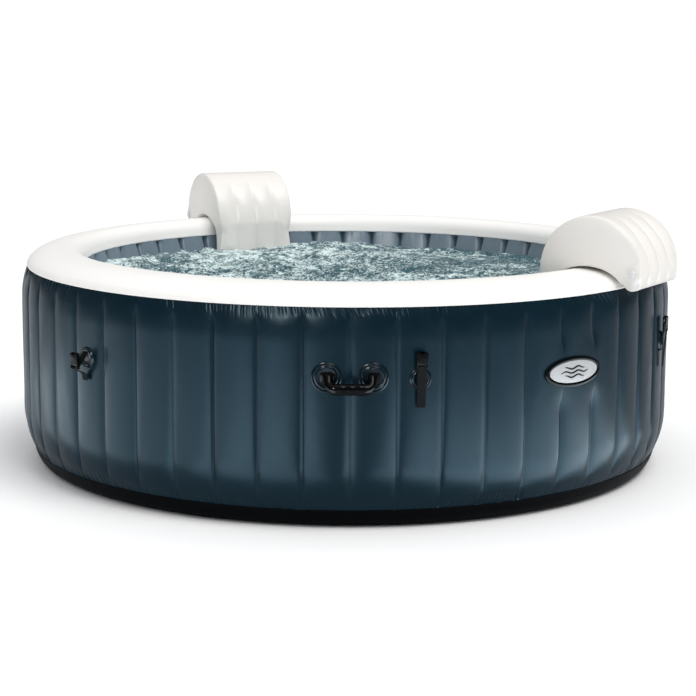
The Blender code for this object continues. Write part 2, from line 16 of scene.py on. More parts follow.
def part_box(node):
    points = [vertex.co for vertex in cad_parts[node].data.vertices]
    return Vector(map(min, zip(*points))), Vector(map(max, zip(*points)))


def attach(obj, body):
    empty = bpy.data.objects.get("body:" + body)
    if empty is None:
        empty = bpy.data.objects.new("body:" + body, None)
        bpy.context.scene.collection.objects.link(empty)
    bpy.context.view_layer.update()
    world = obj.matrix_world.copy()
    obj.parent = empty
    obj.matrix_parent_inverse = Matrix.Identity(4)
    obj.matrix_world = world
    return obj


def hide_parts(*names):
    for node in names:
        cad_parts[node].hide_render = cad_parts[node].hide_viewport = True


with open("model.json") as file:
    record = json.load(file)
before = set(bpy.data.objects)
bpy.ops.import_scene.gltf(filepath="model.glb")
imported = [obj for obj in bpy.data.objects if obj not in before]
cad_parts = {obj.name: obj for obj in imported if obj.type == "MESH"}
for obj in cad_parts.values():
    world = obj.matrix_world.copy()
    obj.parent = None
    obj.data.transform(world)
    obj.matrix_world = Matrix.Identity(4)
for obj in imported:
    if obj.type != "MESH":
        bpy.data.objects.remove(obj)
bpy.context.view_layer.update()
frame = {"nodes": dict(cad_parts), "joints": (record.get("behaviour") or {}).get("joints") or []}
JOINTS = {joint["name"]: joint for joint in frame["joints"]}


# Sizes read from the frame


def points_of(mesh):
    return np.array([vertex.co for vertex in mesh.vertices])


def node_points(node):
    return points_of(frame["nodes"][node].data)


def edge_ring(node, top, outermost=True):
    """Radius and height of the ring of corners at the top or the bottom of a round node."""
    points = node_points(node)
    level = points[:, 2].max() if top else points[:, 2].min()
    near = points[abs(points[:, 2] - level) < 0.0004]
    radii = np.hypot(near[:, 0], near[:, 1])
    return float(radii.max() if outermost else radii.min()), float(level)


def angle_of(point):
    return math.degrees(math.atan2(point[0], -point[1]))


def where(node):
    """Angle and height of the middle of a node."""
    low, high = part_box(node)
    middle = (low + high) / 2
    return angle_of(middle), middle.z


def half_height(node):
    low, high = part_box(node)
    return (high.z - low.z) / 2


def pivot_of(joint):
    return Vector(JOINTS[joint]["pos_m"])


def node_radii(node):
    """How far each corner of a node is from the tub's axis."""
    return np.hypot(*node_points(node)[:, :2].T)


PANELS = 50
FACET = math.pi / PANELS
RADIUS = float(node_radii("outer_wall").max())
APOTHEM = RADIUS * math.cos(FACET)
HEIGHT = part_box("top_rim")[1].z
OUTER_SEAM = edge_ring("outer_wall", True)
LOWER_SEAM = edge_ring("outer_wall", False)
INNER_SEAM = edge_ring("inner_wall", True, outermost=False)
INNER_FOOT = edge_ring("inner_wall", False, outermost=False)
CROWN_RADIUS = edge_ring("top_rim", True)[0]
GROUND_RADIUS = edge_ring("base_ring", False)[0]
SEAM_ANGLE = angle_of(pivot_of("front_handle_swing"))
BADGE_ANGLE, BADGE_HEIGHT = where("badge_plate")

STRAIGHT_WALL = (0.19, 0.555)  # heights between which the wall is upright
CORNER_CONTROL = (1.034, 0.0)  # (radius, height) that the underside's corner bends towards
INNER_BULGE = 0.043  # how far the inner wall bows towards the water
SKIN = 0.0012  # thickness of the sheets
BEAM_HALF = 0.0003  # half the thickness of a beam

PANEL_DEPTH = 0.0112  # seams lie this far inside the middles of the panels
INNER_DEPTH = 0.010  # the same for the inner wall
PINCH_POWER = 11  # how narrow the crease at a seam is
PUCKER = 0.0050  # depth of the gathers along the wall's seams
PUCKER_PITCH = 0.0090
PUCKER_LENGTH = (0.018, 0.044)  # shortest and longest
LINING_GIRTH_RADIUS = 0.86  # where the gathers of the inner wall are spaced out

HOLE_CIRCLE = 0.80  # radius of the bubble ring's crown
HOLE_OFFSET = 0.009  # how far both rows of holes are from the crown
HOLES = 120  # in each row

WATER_LEVEL = 0.603
WATER_EDGE = 0.875  # the water's radius, just behind the lining
ROUND = 64  # steps round small round things


# Camera, floor and light


CAMERA_SPOT = (0, -6.4883, 1.4871)
CAMERA_TURN = (-0.1732, -0.0069, -0.0016)  # pitch, roll and yaw in radians, fitted to the view
CAMERA_LENS = 100.3
FLOOR_HALF = 60.0
STRIP_SPOT = Vector((-1.6, -4.6, 2.9))
STRIP_AIM = Vector((0, 0, 0.4))
DOME, MIRRORED_DOME = 0.76, 0.16  # brightness of the sky, and of the sky that surfaces mirror


def linked(name, data, place=None):
    """A new object of the scene, at a place."""
    made = bpy.data.objects.new(name, data)
    bpy.context.scene.collection.objects.link(made)
    if place is not None:
        made.matrix_world = place
    return made


def make_camera():
    """Above eye level in front of the tub, the view that it is shown in."""
    lens = bpy.data.cameras.new("camera")
    lens.sensor_width = 36.0
    lens.lens = CAMERA_LENS
    pitch, roll, yaw = CAMERA_TURN
    turn = Matrix.Rotation(yaw, 3, "Z") @ Matrix.Rotation(pitch, 3, "X") @ Matrix.Rotation(roll, 3, "Y")
    upright = Matrix(((1, 0, 0), (0, 0, -1), (0, 1, 0)))
    place = (turn @ upright).to_4x4()
    place.translation = CAMERA_SPOT
    bpy.context.scene.camera = linked("camera", lens, place)


def facing(direction):
    """Turn that points an object's own -z along a direction."""
    return Vector(direction).to_track_quat("-Z", "Y")


def sun_light(name, shining, spread, power, colour):
    """Lamp far away that shines along one direction, its shadows softened by a spread in degrees."""
    lamp = bpy.data.lights.new(name, "SUN")
    lamp.angle = math.radians(spread)
    lamp.energy = power
    lamp.color = colour
    linked(name, lamp).rotation_euler = facing(shining).to_euler()


def area_light(name, place, size, power, colour):
    """Rectangular lamp that only glossy surfaces pick up; it shines along its own -z."""
    lamp = bpy.data.lights.new(name, "AREA")
    lamp.shape = "RECTANGLE"
    lamp.size, lamp.size_y = size
    lamp.energy = power
    lamp.color = colour
    made = linked(name, lamp, place)
    made.visible_camera = made.visible_diffuse = False


def floor_light(name, angle, size, power, near):
    """Bright patch of floor that the wall mirrors, its near edge at a radius from the tub's axis."""
    across, outward = size
    middle = Matrix.Translation((0, -near - outward / 2, 0.01))
    place = Matrix.Rotation(math.radians(angle), 4, "Z") @ middle @ Matrix.Rotation(math.pi, 4, "X")
    area_light(name, place, (across, outward), power, (0.76, 0.91, 1.0))


def make_studio():
    """White floor under a key light from the front right, light from above, lamps that only the
    glossy surfaces mirror, and a dome."""
    corners = [(x, y, 0) for x, y in quad(FLOOR_HALF, -FLOOR_HALF, FLOOR_HALF, FLOOR_HALF)]
    mesh_object("floor", corners, [(0, 1, 2, 3)], floor_paint())
    sun_light("key", (-1.8, 1.7, -4.6), 34, 1.45, (1.0, 0.99, 0.975))
    sun_light("top", (0.0, 0.0, -1.0), 60, 0.40, (1.0, 1.0, 1.0))
    floor_light("floor_left", -54, (3.9, 2.4), 84, 1.34)
    floor_light("floor_middle", -18, (0.75, 1.7), 15, 1.30)
    floor_light("floor_right", 43, (1.9, 1.2), 48, 1.18)
    place = Matrix.Translation(STRIP_SPOT) @ facing(STRIP_AIM - STRIP_SPOT).to_matrix().to_4x4()
    area_light("strip", place, (0.5, 1.6), 100, (1, 1, 1))
    make_dome()
    bpy.context.scene.view_settings.view_transform = "Standard"


def make_dome():
    """Even sky that is dimmer in what surfaces mirror and white to the camera."""
    world = bpy.context.scene.world or bpy.data.worlds.new("world")
    bpy.context.scene.world = world
    world.use_nodes = True
    nodes, links = world.node_tree.nodes, world.node_tree.links
    lit = nodes["Background"]
    lit.inputs["Color"].default_value = (0.97, 0.98, 1.0, 1.0)
    path = nodes.new("ShaderNodeLightPath")
    strength = nodes.new("ShaderNodeMapRange")
    strength.inputs["To Min"].default_value = DOME
    strength.inputs["To Max"].default_value = MIRRORED_DOME
    links.new(path.outputs["Is Glossy Ray"], strength.inputs["Value"])
    links.new(strength.outputs["Result"], lit.inputs["Strength"])
    seen = nodes.new("ShaderNodeBackground")
    seen.inputs["Color"].default_value = (1.0, 1.0, 1.0, 1.0)
    either = nodes.new("ShaderNodeMixShader")
    links.new(path.outputs["Is Camera Ray"], either.inputs["Fac"])
    links.new(lit.outputs["Background"], either.inputs[1])
    links.new(seen.outputs["Background"], either.inputs[2])
    links.new(either.outputs["Shader"], nodes["World Output"].inputs["Surface"])


# Node materials


class Paint:
    """A Principled material with the nodes round it."""

    def __init__(self, name, roughness=0.4, specular=0.5):
        self.made = bpy.data.materials.new(name)
        self.made.use_nodes = True
        self.tree = self.made.node_tree
        self.shader = self.tree.nodes["Principled BSDF"]
        self.shader.inputs["Roughness"].default_value = roughness
        self.shader.inputs["Specular IOR Level"].default_value = specular
        self.place = self.node("ShaderNodeTexCoord").outputs["Object"]

    def node(self, kind, **settings):
        made = self.tree.nodes.new(kind)
        for key, value in settings.items():
            if key in made.inputs:
                self.feed(made.inputs[key], value)
            else:
                setattr(made, key, value)
        return made

    def feed(self, socket, value):
        if isinstance(value, bpy.types.NodeSocket):
            self.tree.links.new(value, socket)
        else:
            socket.default_value = value

    def noise(self, scale, detail=3.0, distortion=0.0):
        made = self.node("ShaderNodeTexNoise", Vector=self.place, Scale=scale, Detail=detail,
                         Distortion=distortion)
        return made.outputs["Fac"]

    def cells(self, scale):
        made = self.node("ShaderNodeTexVoronoi", Vector=self.place, Scale=scale)
        return made.outputs["Distance"]

    def ranged(self, value, low, high, out_low=0.0, out_high=1.0):
        made = self.node("ShaderNodeMapRange", Value=value)
        ends = {"From Min": low, "From Max": high, "To Min": out_low, "To Max": out_high}
        for key, end in ends.items():
            made.inputs[key].default_value = end
        return made.outputs["Result"]

    def math(self, operation, a, b=0.0):
        made = self.node("ShaderNodeMath", operation=operation)
        for socket, value in zip(made.inputs, (a, b)):
            self.feed(socket, value)
        return made.outputs[0]

    def mixed(self, factor, a, b):
        made = self.node("ShaderNodeMix", data_type="RGBA")
        for socket, value in zip((made.inputs[0], made.inputs[6], made.inputs[7]), (factor, a, b)):
            self.feed(socket, value)
        return made.outputs[2]

    def bump(self, height, distance, strength=1.0, under=None):
        made = self.node("ShaderNodeBump", Height=height, Distance=distance, Strength=strength)
        if under:
            self.feed(made.inputs["Normal"], under)
        return made.outputs["Normal"]

    def set(self, **values):
        for key, value in values.items():
            self.feed(self.shader.inputs[key.replace("_", " ")], value)
        return self.made


def rgba(colour, factor=1.0):
    return (*[min(1.0, c * factor) for c in colour], 1.0)


def vinyl_paint(name, colour, roughness, variation, grain=0.00012, specular=0.5, tint=(1, 1, 1)):
    """Soft PVC sheet: a fine pressed grain, slow changes of tone and handling marks in its gloss."""
    paint = Paint(name, roughness, specular)
    slow = paint.noise(3.5, 4.0, 0.4)
    tone = paint.mixed(slow, rgba(colour, 1 - variation), rgba(colour, 1 + variation))
    rubs = paint.ranged(paint.noise(28.0, 5.0, 1.5), 0.35, 0.75)
    gloss = paint.ranged(rubs, 0.0, 1.0, roughness - 0.02, roughness + 0.04)
    pressed = paint.bump(paint.cells(900.0), grain, 0.25)
    crumple = paint.bump(paint.noise(34.0, 1.0, 0.3), 0.0007, 0.22, pressed)
    return paint.set(Base_Color=tone, Roughness=gloss, Normal=crumple, Specular_Tint=rgba(tint))


def plastic_paint(name, colour, roughness, texture=0.00006, wear=0.25, specular=0.5):
    """Moulded plastic: spark-eroded texture, and edges rubbed paler."""
    paint = Paint(name, roughness, specular)
    edge = paint.node("ShaderNodeNewGeometry").outputs["Pointiness"]
    scuffed = paint.math("MULTIPLY", paint.ranged(edge, 0.52, 0.60), paint.noise(120.0, 4.0))
    worn = paint.math("MULTIPLY", scuffed, wear)
    tone = paint.mixed(worn, rgba(colour), rgba([c * 0.8 + 0.05 for c in colour]))
    gloss = paint.ranged(paint.noise(45.0, 5.0, 0.6), 0.3, 0.7, roughness - 0.05, roughness + 0.08)
    pitted = paint.bump(paint.noise(1500.0, 2.0), texture, 0.6)
    return paint.set(Base_Color=tone, Roughness=gloss, Normal=pitted)


def webbing_paint():
    """Woven polypropylene: ribs across the band and a twill along it, laid out by its UV map."""
    paint = Paint("black_webbing", 0.7, 0.08)
    along = paint.node("ShaderNodeTexCoord").outputs["UV"]
    split = paint.node("ShaderNodeSeparateXYZ", Vector=along)
    waves = [paint.math("SINE", paint.math("MULTIPLY", split.outputs[i], math.tau / thread))
             for i, thread in enumerate((0.0016, 0.0022))]
    weave = paint.ranged(paint.math("MULTIPLY", *waves), -1.0, 1.0)
    worn = paint.math("MULTIPLY", weave, paint.noise(700.0, 4.0))
    tone = paint.mixed(worn, (0.0016, 0.0018, 0.002, 1), (0.009, 0.010, 0.012, 1))
    woven = paint.bump(weave, 0.0004, 0.8)
    return paint.set(Base_Color=tone, Normal=woven)


def floor_paint():
    """Nearly white, but darker in what the wall mirrors."""
    paint = Paint("floor_paint", 0.6, 0.2)
    tone = paint.mixed(paint.noise(1.2, 3.0), (0.97, 0.97, 0.97, 1), (0.99, 0.99, 0.99, 1))
    mirrored = paint.node("ShaderNodeLightPath").outputs["Is Glossy Ray"]
    return paint.set(Base_Color=paint.mixed(mirrored, tone, (0.58, 0.62, 0.66, 1)))


def water_paint():
    """Aerated water: mint foam in clumps, streaks and single bubbles over dark teal, with less
    foam towards the right."""
    paint = Paint("aerated_water", 0.10)
    drift = paint.noise(4.2, 3.0, 0.8)
    clumps = paint.noise(13.0, 7.0, 2.2)
    streaks = paint.noise(38.0, 5.0, 3.0)
    bubbles = paint.cells(120.0)
    froth = paint.math("ADD", paint.math("MULTIPLY", clumps, 0.62),
                       paint.math("MULTIPLY", streaks, 0.42))
    froth = paint.math("ADD", froth, paint.math("MULTIPLY", drift, 0.50))
    froth = paint.math("SUBTRACT", froth, paint.math("MULTIPLY", bubbles, 0.22))
    across = paint.node("ShaderNodeSeparateXYZ", Vector=paint.place).outputs["X"]
    froth = paint.math("SUBTRACT", froth, paint.ranged(across, 0.05, 0.75, 0.0, 0.075))
    amount = paint.ranged(froth, 0.58, 0.78)
    depths = paint.noise(14.0, 4.0, 1.0)
    deep = paint.mixed(depths, (0.004, 0.036, 0.052, 1), (0.070, 0.18, 0.21, 1))
    tone = paint.mixed(amount, deep, (0.78, 0.93, 0.93, 1))
    gloss = paint.ranged(amount, 0.0, 1.0, 0.06, 0.5)
    return paint.set(Base_Color=tone, Roughness=gloss, Normal=paint.bump(froth, 0.020))


def hole_row_paint(name, colour, roughness):
    """Vinyl with a double row of air holes round its crown, each hole a near-black spot of painted shade
    in a dished bump.
    """
    paint = Paint(name, roughness)
    xyz = paint.node("ShaderNodeSeparateXYZ", Vector=paint.place)
    x, y = xyz.outputs[0], xyz.outputs[1]

    def length(a, b):
        squares = [paint.math("MULTIPLY", side, side) for side in (a, b)]
        return paint.math("SQRT", paint.math("ADD", *squares))

    turn = paint.math("MULTIPLY", paint.math("ARCTAN2", x, y), HOLES / math.tau)
    step = paint.math("MULTIPLY", paint.math("SUBTRACT", paint.math("FRACT", turn), 0.5), 0.042)
    from_crown = paint.math("ABSOLUTE", paint.math("SUBTRACT", length(x, y), HOLE_CIRCLE))
    reach = length(step, paint.math("SUBTRACT", from_crown, HOLE_OFFSET))
    hole = paint.ranged(reach, 0.0012, 0.0018, 1.0, 0.0)
    # the holes' near-black colour is painted shade, standing in for the dark inside of an opening
    tone = paint.mixed(hole, rgba(colour), (0.004, 0.005, 0.006, 1))
    dished = paint.bump(paint.ranged(reach, 0.001, 0.004), 0.001, 0.8)
    return paint.set(Base_Color=tone, Normal=dished)


# Mesh helpers


def mesh_object(name, points, faces, paint, smooth=True):
    mesh = bpy.data.meshes.new(name)
    mesh.from_pydata([tuple(map(float, p)) for p in points], [], faces)
    mesh.validate()
    mesh.materials.append(paint)
    if smooth:
        mesh.shade_smooth()
    return linked(name, mesh)


def grid_faces(rows, columns, wrapped, start=0):
    """Quads of a grid of rows x columns points; wrapped joins the last column to the first."""
    spans = columns if wrapped else columns - 1
    index = np.arange(rows * columns).reshape(rows, columns) + start
    following = np.roll(index, -1, axis=1)
    quads = np.stack([index[:-1, :spans], following[:-1, :spans],
                      following[1:, :spans], index[1:, :spans]], axis=-1)
    return quads.reshape(-1, 4).tolist()


def from_shape(name, shape, paint, sharp=35.0):
    """Object from a bmesh, smooth except at edges sharper than an angle in degrees."""
    bmesh.ops.recalc_face_normals(shape, faces=shape.faces)
    mesh = bpy.data.meshes.new(name)
    shape.to_mesh(mesh)
    shape.free()
    mesh.materials.append(paint)
    mesh.shade_smooth()
    mesh.set_sharp_from_angle(angle=math.radians(sharp))
    return linked(name, mesh)


def creased(thing, angle):
    """Shades an object sharp at edges over an angle in degrees."""
    thing.data.set_sharp_from_angle(angle=math.radians(angle))
    return thing


def baked(thing):
    """Applies an object's modifiers to its mesh."""
    depsgraph = bpy.context.evaluated_depsgraph_get()
    mesh = bpy.data.meshes.new_from_object(thing.evaluated_get(depsgraph))
    thing.modifiers.clear()
    thing.data = mesh
    return thing


def unlinked(thing):
    """Removes an object and hands back its mesh."""
    mesh = thing.data
    bpy.data.objects.remove(thing, do_unlink=True)
    return mesh


def quad(low_half, low, high_half, high):
    """Four corners of an outline that is as wide to the left as to the right."""
    return [(-low_half, low), (low_half, low), (high_half, high), (-high_half, high)]


def slab(half_width, middle, half_height):
    return quad(half_width, middle - half_height, half_width, middle + half_height)


def turned(section, steps=ROUND, closed=False):
    """Round shape from (radius, height) points; an open section starts and ends on the axis."""
    shape = bmesh.new()
    points = [shape.verts.new((r, 0, z)) for r, z in section]
    ends = points[1:] + points[:1] if closed else points[1:]
    edges = [shape.edges.new(pair) for pair in zip(points, ends)]
    bmesh.ops.spin(shape, geom=points + edges, cent=(0, 0, 0), axis=(0, 0, 1),
                   angle=math.tau, steps=steps, use_merge=True)
    bmesh.ops.remove_doubles(shape, verts=shape.verts, dist=1e-6)
    return shape


def rounded(section, radius, closed=False, steps=3):
    """Section with its corners cut by small arcs."""
    points = [Vector(p) for p in section]
    count = len(points)
    made = []
    for i, corner in enumerate(points):
        if not closed and i in (0, count - 1):
            made.append(tuple(corner))
            continue
        before, after = points[i - 1] - corner, points[(i + 1) % count] - corner
        reach = min(radius, before.length * 0.45, after.length * 0.45)
        start, end = corner + before.normalized() * reach, corner + after.normalized() * reach
        for k in range(steps + 1):
            t = k / steps
            made.append(tuple(start.lerp(corner, t).lerp(corner.lerp(end, t), t)))
    return made


def prism(outline, low, high, along_x=False):
    """Closed prism of an (x, y) outline along z, or of a (y, z) one along x."""
    shape = bmesh.new()
    points = [shape.verts.new((low, a, b) if along_x else (a, b, low)) for a, b in outline]
    travel = (high - low, 0, 0) if along_x else (0, 0, high - low)
    face = shape.faces.new(points)
    grown = bmesh.ops.extrude_face_region(shape, geom=[face])
    moved = [item for item in grown["geom"] if isinstance(item, bmesh.types.BMVert)]
    bmesh.ops.translate(shape, verts=moved, vec=travel)
    return shape


def box_shape(size, centre):
    shape = bmesh.new()
    place = Matrix.Translation(centre) @ Matrix.Diagonal((*size, 1.0))
    bmesh.ops.create_cube(shape, size=1.0, matrix=place)
    return shape


def bridged(shape, loops):
    """Joins each ring of a bmesh's points to the next with faces; a ring may be a single point."""
    steps = max(len(loop) for loop in loops)
    for a, b in zip(loops, loops[1:]):
        for i in range(steps):
            j = (i + 1) % steps
            face = [a[i % len(a)], a[j % len(a)], b[j % len(b)], b[i % len(b)]]
            shape.faces.new(list(dict.fromkeys(face)))
    return shape


def joined(shapes, mesh=None):
    """Several bmeshes in one, after what is in a mesh."""
    whole = bmesh.new()
    if mesh:
        whole.from_mesh(mesh)
    for shape in shapes:
        mesh = bpy.data.meshes.new("part")
        shape.to_mesh(mesh)
        shape.free()
        whole.from_mesh(mesh)
        bpy.data.meshes.remove(mesh)
    return whole


def softened(thing, width, segments=2, angle=40.0):
    """Bevels an object's edges and shades it by its faces."""
    edge = thing.modifiers.new("edges", "BEVEL")
    edge.width = width
    edge.segments = segments
    edge.limit_method = "ANGLE"
    edge.angle_limit = math.radians(angle)
    baked(thing).data.shade_smooth()
    return creased(thing, 50)


def swept(points, radii, sides=24):
    """Tube with rounded ends along points, with a radius at each."""
    centres = [Vector(p) for p in points]
    rings = []
    side = None
    for i, centre in enumerate(centres):
        way = (centres[min(i + 1, len(centres) - 1)] - centres[max(i - 1, 0)]).normalized()
        if side is None:
            side = way.orthogonal().normalized()
        side = (side - way * side.dot(way)).normalized()
        up = way.cross(side)
        angles = [math.tau * k / sides for k in range(sides)]
        rings.append([centre + (side * math.cos(a) + up * math.sin(a)) * radii[i] for a in angles])
    flat = [p for ring in rings for p in ring]
    faces = grid_faces(len(rings), sides, True)
    faces.append(list(range(sides))[::-1])
    faces.append([len(flat) - sides + k for k in range(sides)])
    return flat, faces


def belongs(piece, body, slot, *nodes):
    """Hangs a piece on the body that it rides on and hides the CAD nodes that it stands for; slot, what
    it is made of, is not used.
    """
    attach(piece, body)
    if nodes:
        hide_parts(*nodes)
    return piece


# Curves and repeatable noise


def smooth_step(value, low, high):
    t = np.clip((value - low) / (high - low), 0.0, 1.0)
    return t * t * (3 - 2 * t)


def ripple(turns, cells, seed):
    """Noise round a circle from -1 to 1: turns is the place as a share of a turn."""
    values = np.random.default_rng(seed).uniform(-1, 1, cells)
    place = (np.asarray(turns) % 1.0) * cells
    cell = np.floor(place).astype(int)
    t = place - cell
    t = t * t * (3 - 2 * t)
    return values[cell % cells] * (1 - t) + values[(cell + 1) % cells] * t


def field(x, y, cell, seed):
    """Noise over a plane from -1 to 1."""
    size = 64
    values = np.random.default_rng(seed).uniform(-1, 1, (size, size))
    u, v = np.asarray(x) / cell, np.asarray(y) / cell
    i, j = np.floor(u).astype(int), np.floor(v).astype(int)
    s, t = u - i, v - j
    s, t = s * s * (3 - 2 * s), t * t * (3 - 2 * t)
    a, b = values[i % size, j % size], values[(i + 1) % size, j % size]
    c, d = values[i % size, (j + 1) % size], values[(i + 1) % size, (j + 1) % size]
    return (a * (1 - s) + b * s) * (1 - t) + (c * (1 - s) + d * s) * t


def arc_points(centre, half, start, end, steps, power=2.0):
    """Points on an ellipse, or on a fuller oval of a higher power, between angles in degrees."""
    points = []
    for i in range(steps + 1):
        angle = math.radians(start + (end - start) * i / steps)
        c, s = math.cos(angle), math.sin(angle)
        points.append((centre[0] + half[0] * math.copysign(abs(c) ** (2 / power), c),
                       centre[1] + half[1] * math.copysign(abs(s) ** (2 / power), s)))
    return points


def wall_frame(angle, height, radius=APOTHEM, outward=1):
    """A wall frame, or with outward -1 one that faces the tub's axis."""
    turn = Matrix.Rotation(math.radians(angle), 4, "Z")
    lean = Matrix.Rotation(outward * math.pi / 2, 4, "X")
    return turn @ Matrix.Translation((0, -radius, height)) @ lean


# The inflated ring


def shoulder_radius(height, straight, seam):
    """Radius on the arc from the upright wall to a seam."""
    rise, inset = abs(seam[1] - straight), RADIUS - seam[0]
    bend = (rise * rise + inset * inset) / (2 * inset)
    up = np.clip(abs(height - straight), 0.0, rise)
    return RADIUS - bend + np.sqrt(bend * bend - up * up)


def wall_profile(height):
    """Radius of the corners of the outer wall at a height."""
    height = np.asarray(height, float)
    low = shoulder_radius(height, STRAIGHT_WALL[0], LOWER_SEAM)
    high = shoulder_radius(height, STRAIGHT_WALL[1], OUTER_SEAM)
    return np.where(height < STRAIGHT_WALL[0], low, np.where(height > STRAIGHT_WALL[1], high, RADIUS))


def swell(angle, seed, skew=0.22):
    """0 at the middle of a panel, 1 at its seams, each panel leaning a little its own way."""
    share = (np.asarray(angle) - SEAM_ANGLE) * PANELS / 360.0
    number = np.floor(share).astype(int) % PANELS
    across = 2 * (share - np.floor(share)) - 1
    lean = np.random.default_rng(seed).uniform(-skew, skew, PANELS)[number]
    place = np.abs(across + lean * (1 - across * across))
    return 0.5 * place ** 2.2 + 0.5 * place ** PINCH_POWER


def nearest_seam(angle, radius):
    """Number of the seam nearest to an angle, and the distance from it at a radius."""
    share = (np.asarray(angle) - SEAM_ANGLE) * PANELS / 360.0
    off = (share - np.round(share)) * math.tau * radius / PANELS
    return np.round(share).astype(int) % PANELS, off


def seam_ridge(angle, seed):
    """Welded pleat at each seam: a narrow ridge, of its own height at each."""
    number, off = nearest_seam(angle, RADIUS)
    rise = np.random.default_rng(seed).uniform(0.0002, 0.0022, PANELS)[number]
    return rise * np.exp(-(off / 0.0019) ** 2)


def gathers(angle, below, radius, seed, amount=PUCKER, pitch=PUCKER_PITCH):
    """Puckers that run away from a seam, each of its own length and slant."""
    turns = np.asarray(angle) / 360.0
    girth = math.tau * radius
    slant = 0.45 * ripple(turns, 23, seed) - 0.15
    moved = turns + slant * below / girth
    cells = int(girth / pitch)
    crease = 1 - np.abs(ripple(moved, cells, seed + 1) + 0.35 * ripple(moved, 2 * cells, seed + 2))
    fold = -np.clip(crease, 0, 1) ** 2.5
    shortest, longest = PUCKER_LENGTH
    length = shortest + (longest - shortest) * (0.5 + 0.5 * ripple(turns, 90, seed + 3))
    strength = 0.6 + 0.4 * ripple(turns, 37, seed + 4)
    envelope = smooth_step(below, 0.0, 0.005) * (1 - smooth_step(below, length * 0.3, length * 1.2))
    return amount * strength * fold * envelope


def wall_radius(angle, height):
    """Surface of the inflated outer wall, which lies almost flat under the badge."""
    below, above = OUTER_SEAM[1] - height, height - LOWER_SEAM[1]
    depth = PANEL_DEPTH * smooth_step(below, 0.0, 0.075) * smooth_step(above, 0.0, 0.09)
    reach = np.abs((angle - BADGE_ANGLE + 180) % 360 - 180) * math.pi / 180 * RADIUS
    off = np.abs(height - BADGE_HEIGHT)
    label = (1 - smooth_step(reach, 0.11, 0.16)) * (1 - smooth_step(off, 0.045, 0.12))
    depth = depth * (1 - 0.93 * label)
    radius = wall_profile(height) * math.cos(FACET)
    sag = 0.0006 * ripple(angle / 360, 110, 5) * np.sin(height * 17 + 3 * ripple(angle / 360, 50, 6))
    radius = radius - depth * swell(angle, 7) + sag * (1 - label)
    radius = radius + seam_ridge(angle, 8) * smooth_step(below, 0.012, 0.03) * (1 - label)
    radius = radius + gathers(angle, below, RADIUS, 11)
    return radius + gathers(angle, above, RADIUS, 31, PUCKER * 0.75)


def column_angles(per_panel):
    """Angles of a ring's columns, closer together at the seams."""
    even = np.arange(per_panel) / per_panel
    packed = even - 0.11 * np.sin(2 * math.pi * even)
    return (SEAM_ANGLE + (np.arange(PANELS)[:, None] + packed[None, :]) * 360.0 / PANELS).ravel()


def ring_points(angles, radii, heights):
    """Rows x columns of points from radii and heights over the angles."""
    turn = np.radians(angles)[None, :]
    radii = np.broadcast_to(radii, (len(heights), len(angles)))
    heights = np.broadcast_to(heights, radii.shape)
    return np.stack([radii * np.sin(turn), -radii * np.cos(turn), heights], axis=-1)


def ring_object(name, angles, radii, heights, paint):
    grid = ring_points(angles, radii, heights)
    return mesh_object(name, grid.reshape(-1, 3), grid_faces(*grid.shape[:2], True), paint)


def spaced(start, end, near_start, near_end, middle):
    """Steps from start to end, fine near both ends."""
    head = start - np.cumsum([0, *near_start])
    tail = (end + np.cumsum([0, *near_end]))[::-1]
    body = np.linspace(head[-1], tail[0], middle + 2)[1:-1]
    return np.concatenate([head, body, tail])


TOP_STEPS = [0.0014, 0.0016, 0.002, 0.0023, 0.0026, 0.003, 0.003, 0.003, 0.0035, 0.0035, 0.004, 0.005,
             0.006, 0.008, 0.010, 0.013, 0.017]
LOW_STEPS = [0.0014, 0.002, 0.003, 0.0035, 0.0045, 0.006, 0.008, 0.011, 0.015, 0.020]
GATHER_BAND = (0.054, 0.046)  # how far the finely meshed gathers reach from the two seams
OVERLAP = 0.0015


def wall_piece(name, paint, per_panel, heights):
    angles = column_angles(per_panel)
    radii = wall_radius(angles[None, :], heights[:, None])
    piece = ring_object(name, angles, radii, heights[:, None], paint)
    belongs(piece, "tub", "navy_pvc", "outer_wall")


def make_outer_wall(paint):
    """The wall in three pieces: its panels, and the finer gathered bands along the two seams."""
    top, low = OUTER_SEAM[1], LOWER_SEAM[1]
    upper, lower = top - GATHER_BAND[0], low + GATHER_BAND[1]
    fine = np.linspace(0, 1, 20) ** 1.15
    wall_piece("outer_wall_top_gathers", paint, 84, top + (upper - OVERLAP - top) * fine)
    wall_piece("outer_wall_panels", paint, 40, np.linspace(upper, lower, 36))
    wall_piece("outer_wall_low_gathers", paint, 84, (low + (lower + OVERLAP - low) * fine)[::-1])


def rim_profile():
    """The rim's section from the lip over the outer seam to the lip over the inner one."""
    outer_half = (OUTER_SEAM[0] - CROWN_RADIUS, HEIGHT - OUTER_SEAM[1])
    inner_half = (CROWN_RADIUS - INNER_SEAM[0], HEIGHT - INNER_SEAM[1])
    outer = arc_points((CROWN_RADIUS, OUTER_SEAM[1]), outer_half, 0, 90, 44)
    inner = arc_points((CROWN_RADIUS, INNER_SEAM[1]), inner_half, 90, 180, 22, 2.4)
    outer = [(r, z + 0.0009 * math.exp(-((z - OUTER_SEAM[1] - 0.017) / 0.0022) ** 2)) for r, z in outer]
    lip, edge = 0.0016, 0.0028
    (r0, z0), (r1, z1) = OUTER_SEAM, INNER_SEAM
    start = [(r0 - 0.003, z0 - edge), (r0 + lip, z0 - edge), (r0 + lip * 1.3, z0 - edge * 0.4),
             (r0 + lip, z0 + 0.0035)]
    end = [(r1 - lip, z1 + 0.0030), (r1 - lip * 1.3, z1 - edge * 0.4), (r1 - lip, z1 - edge),
           (r1 + 0.003, z1 - edge)]
    return start + outer[2:] + inner[1:-2] + end


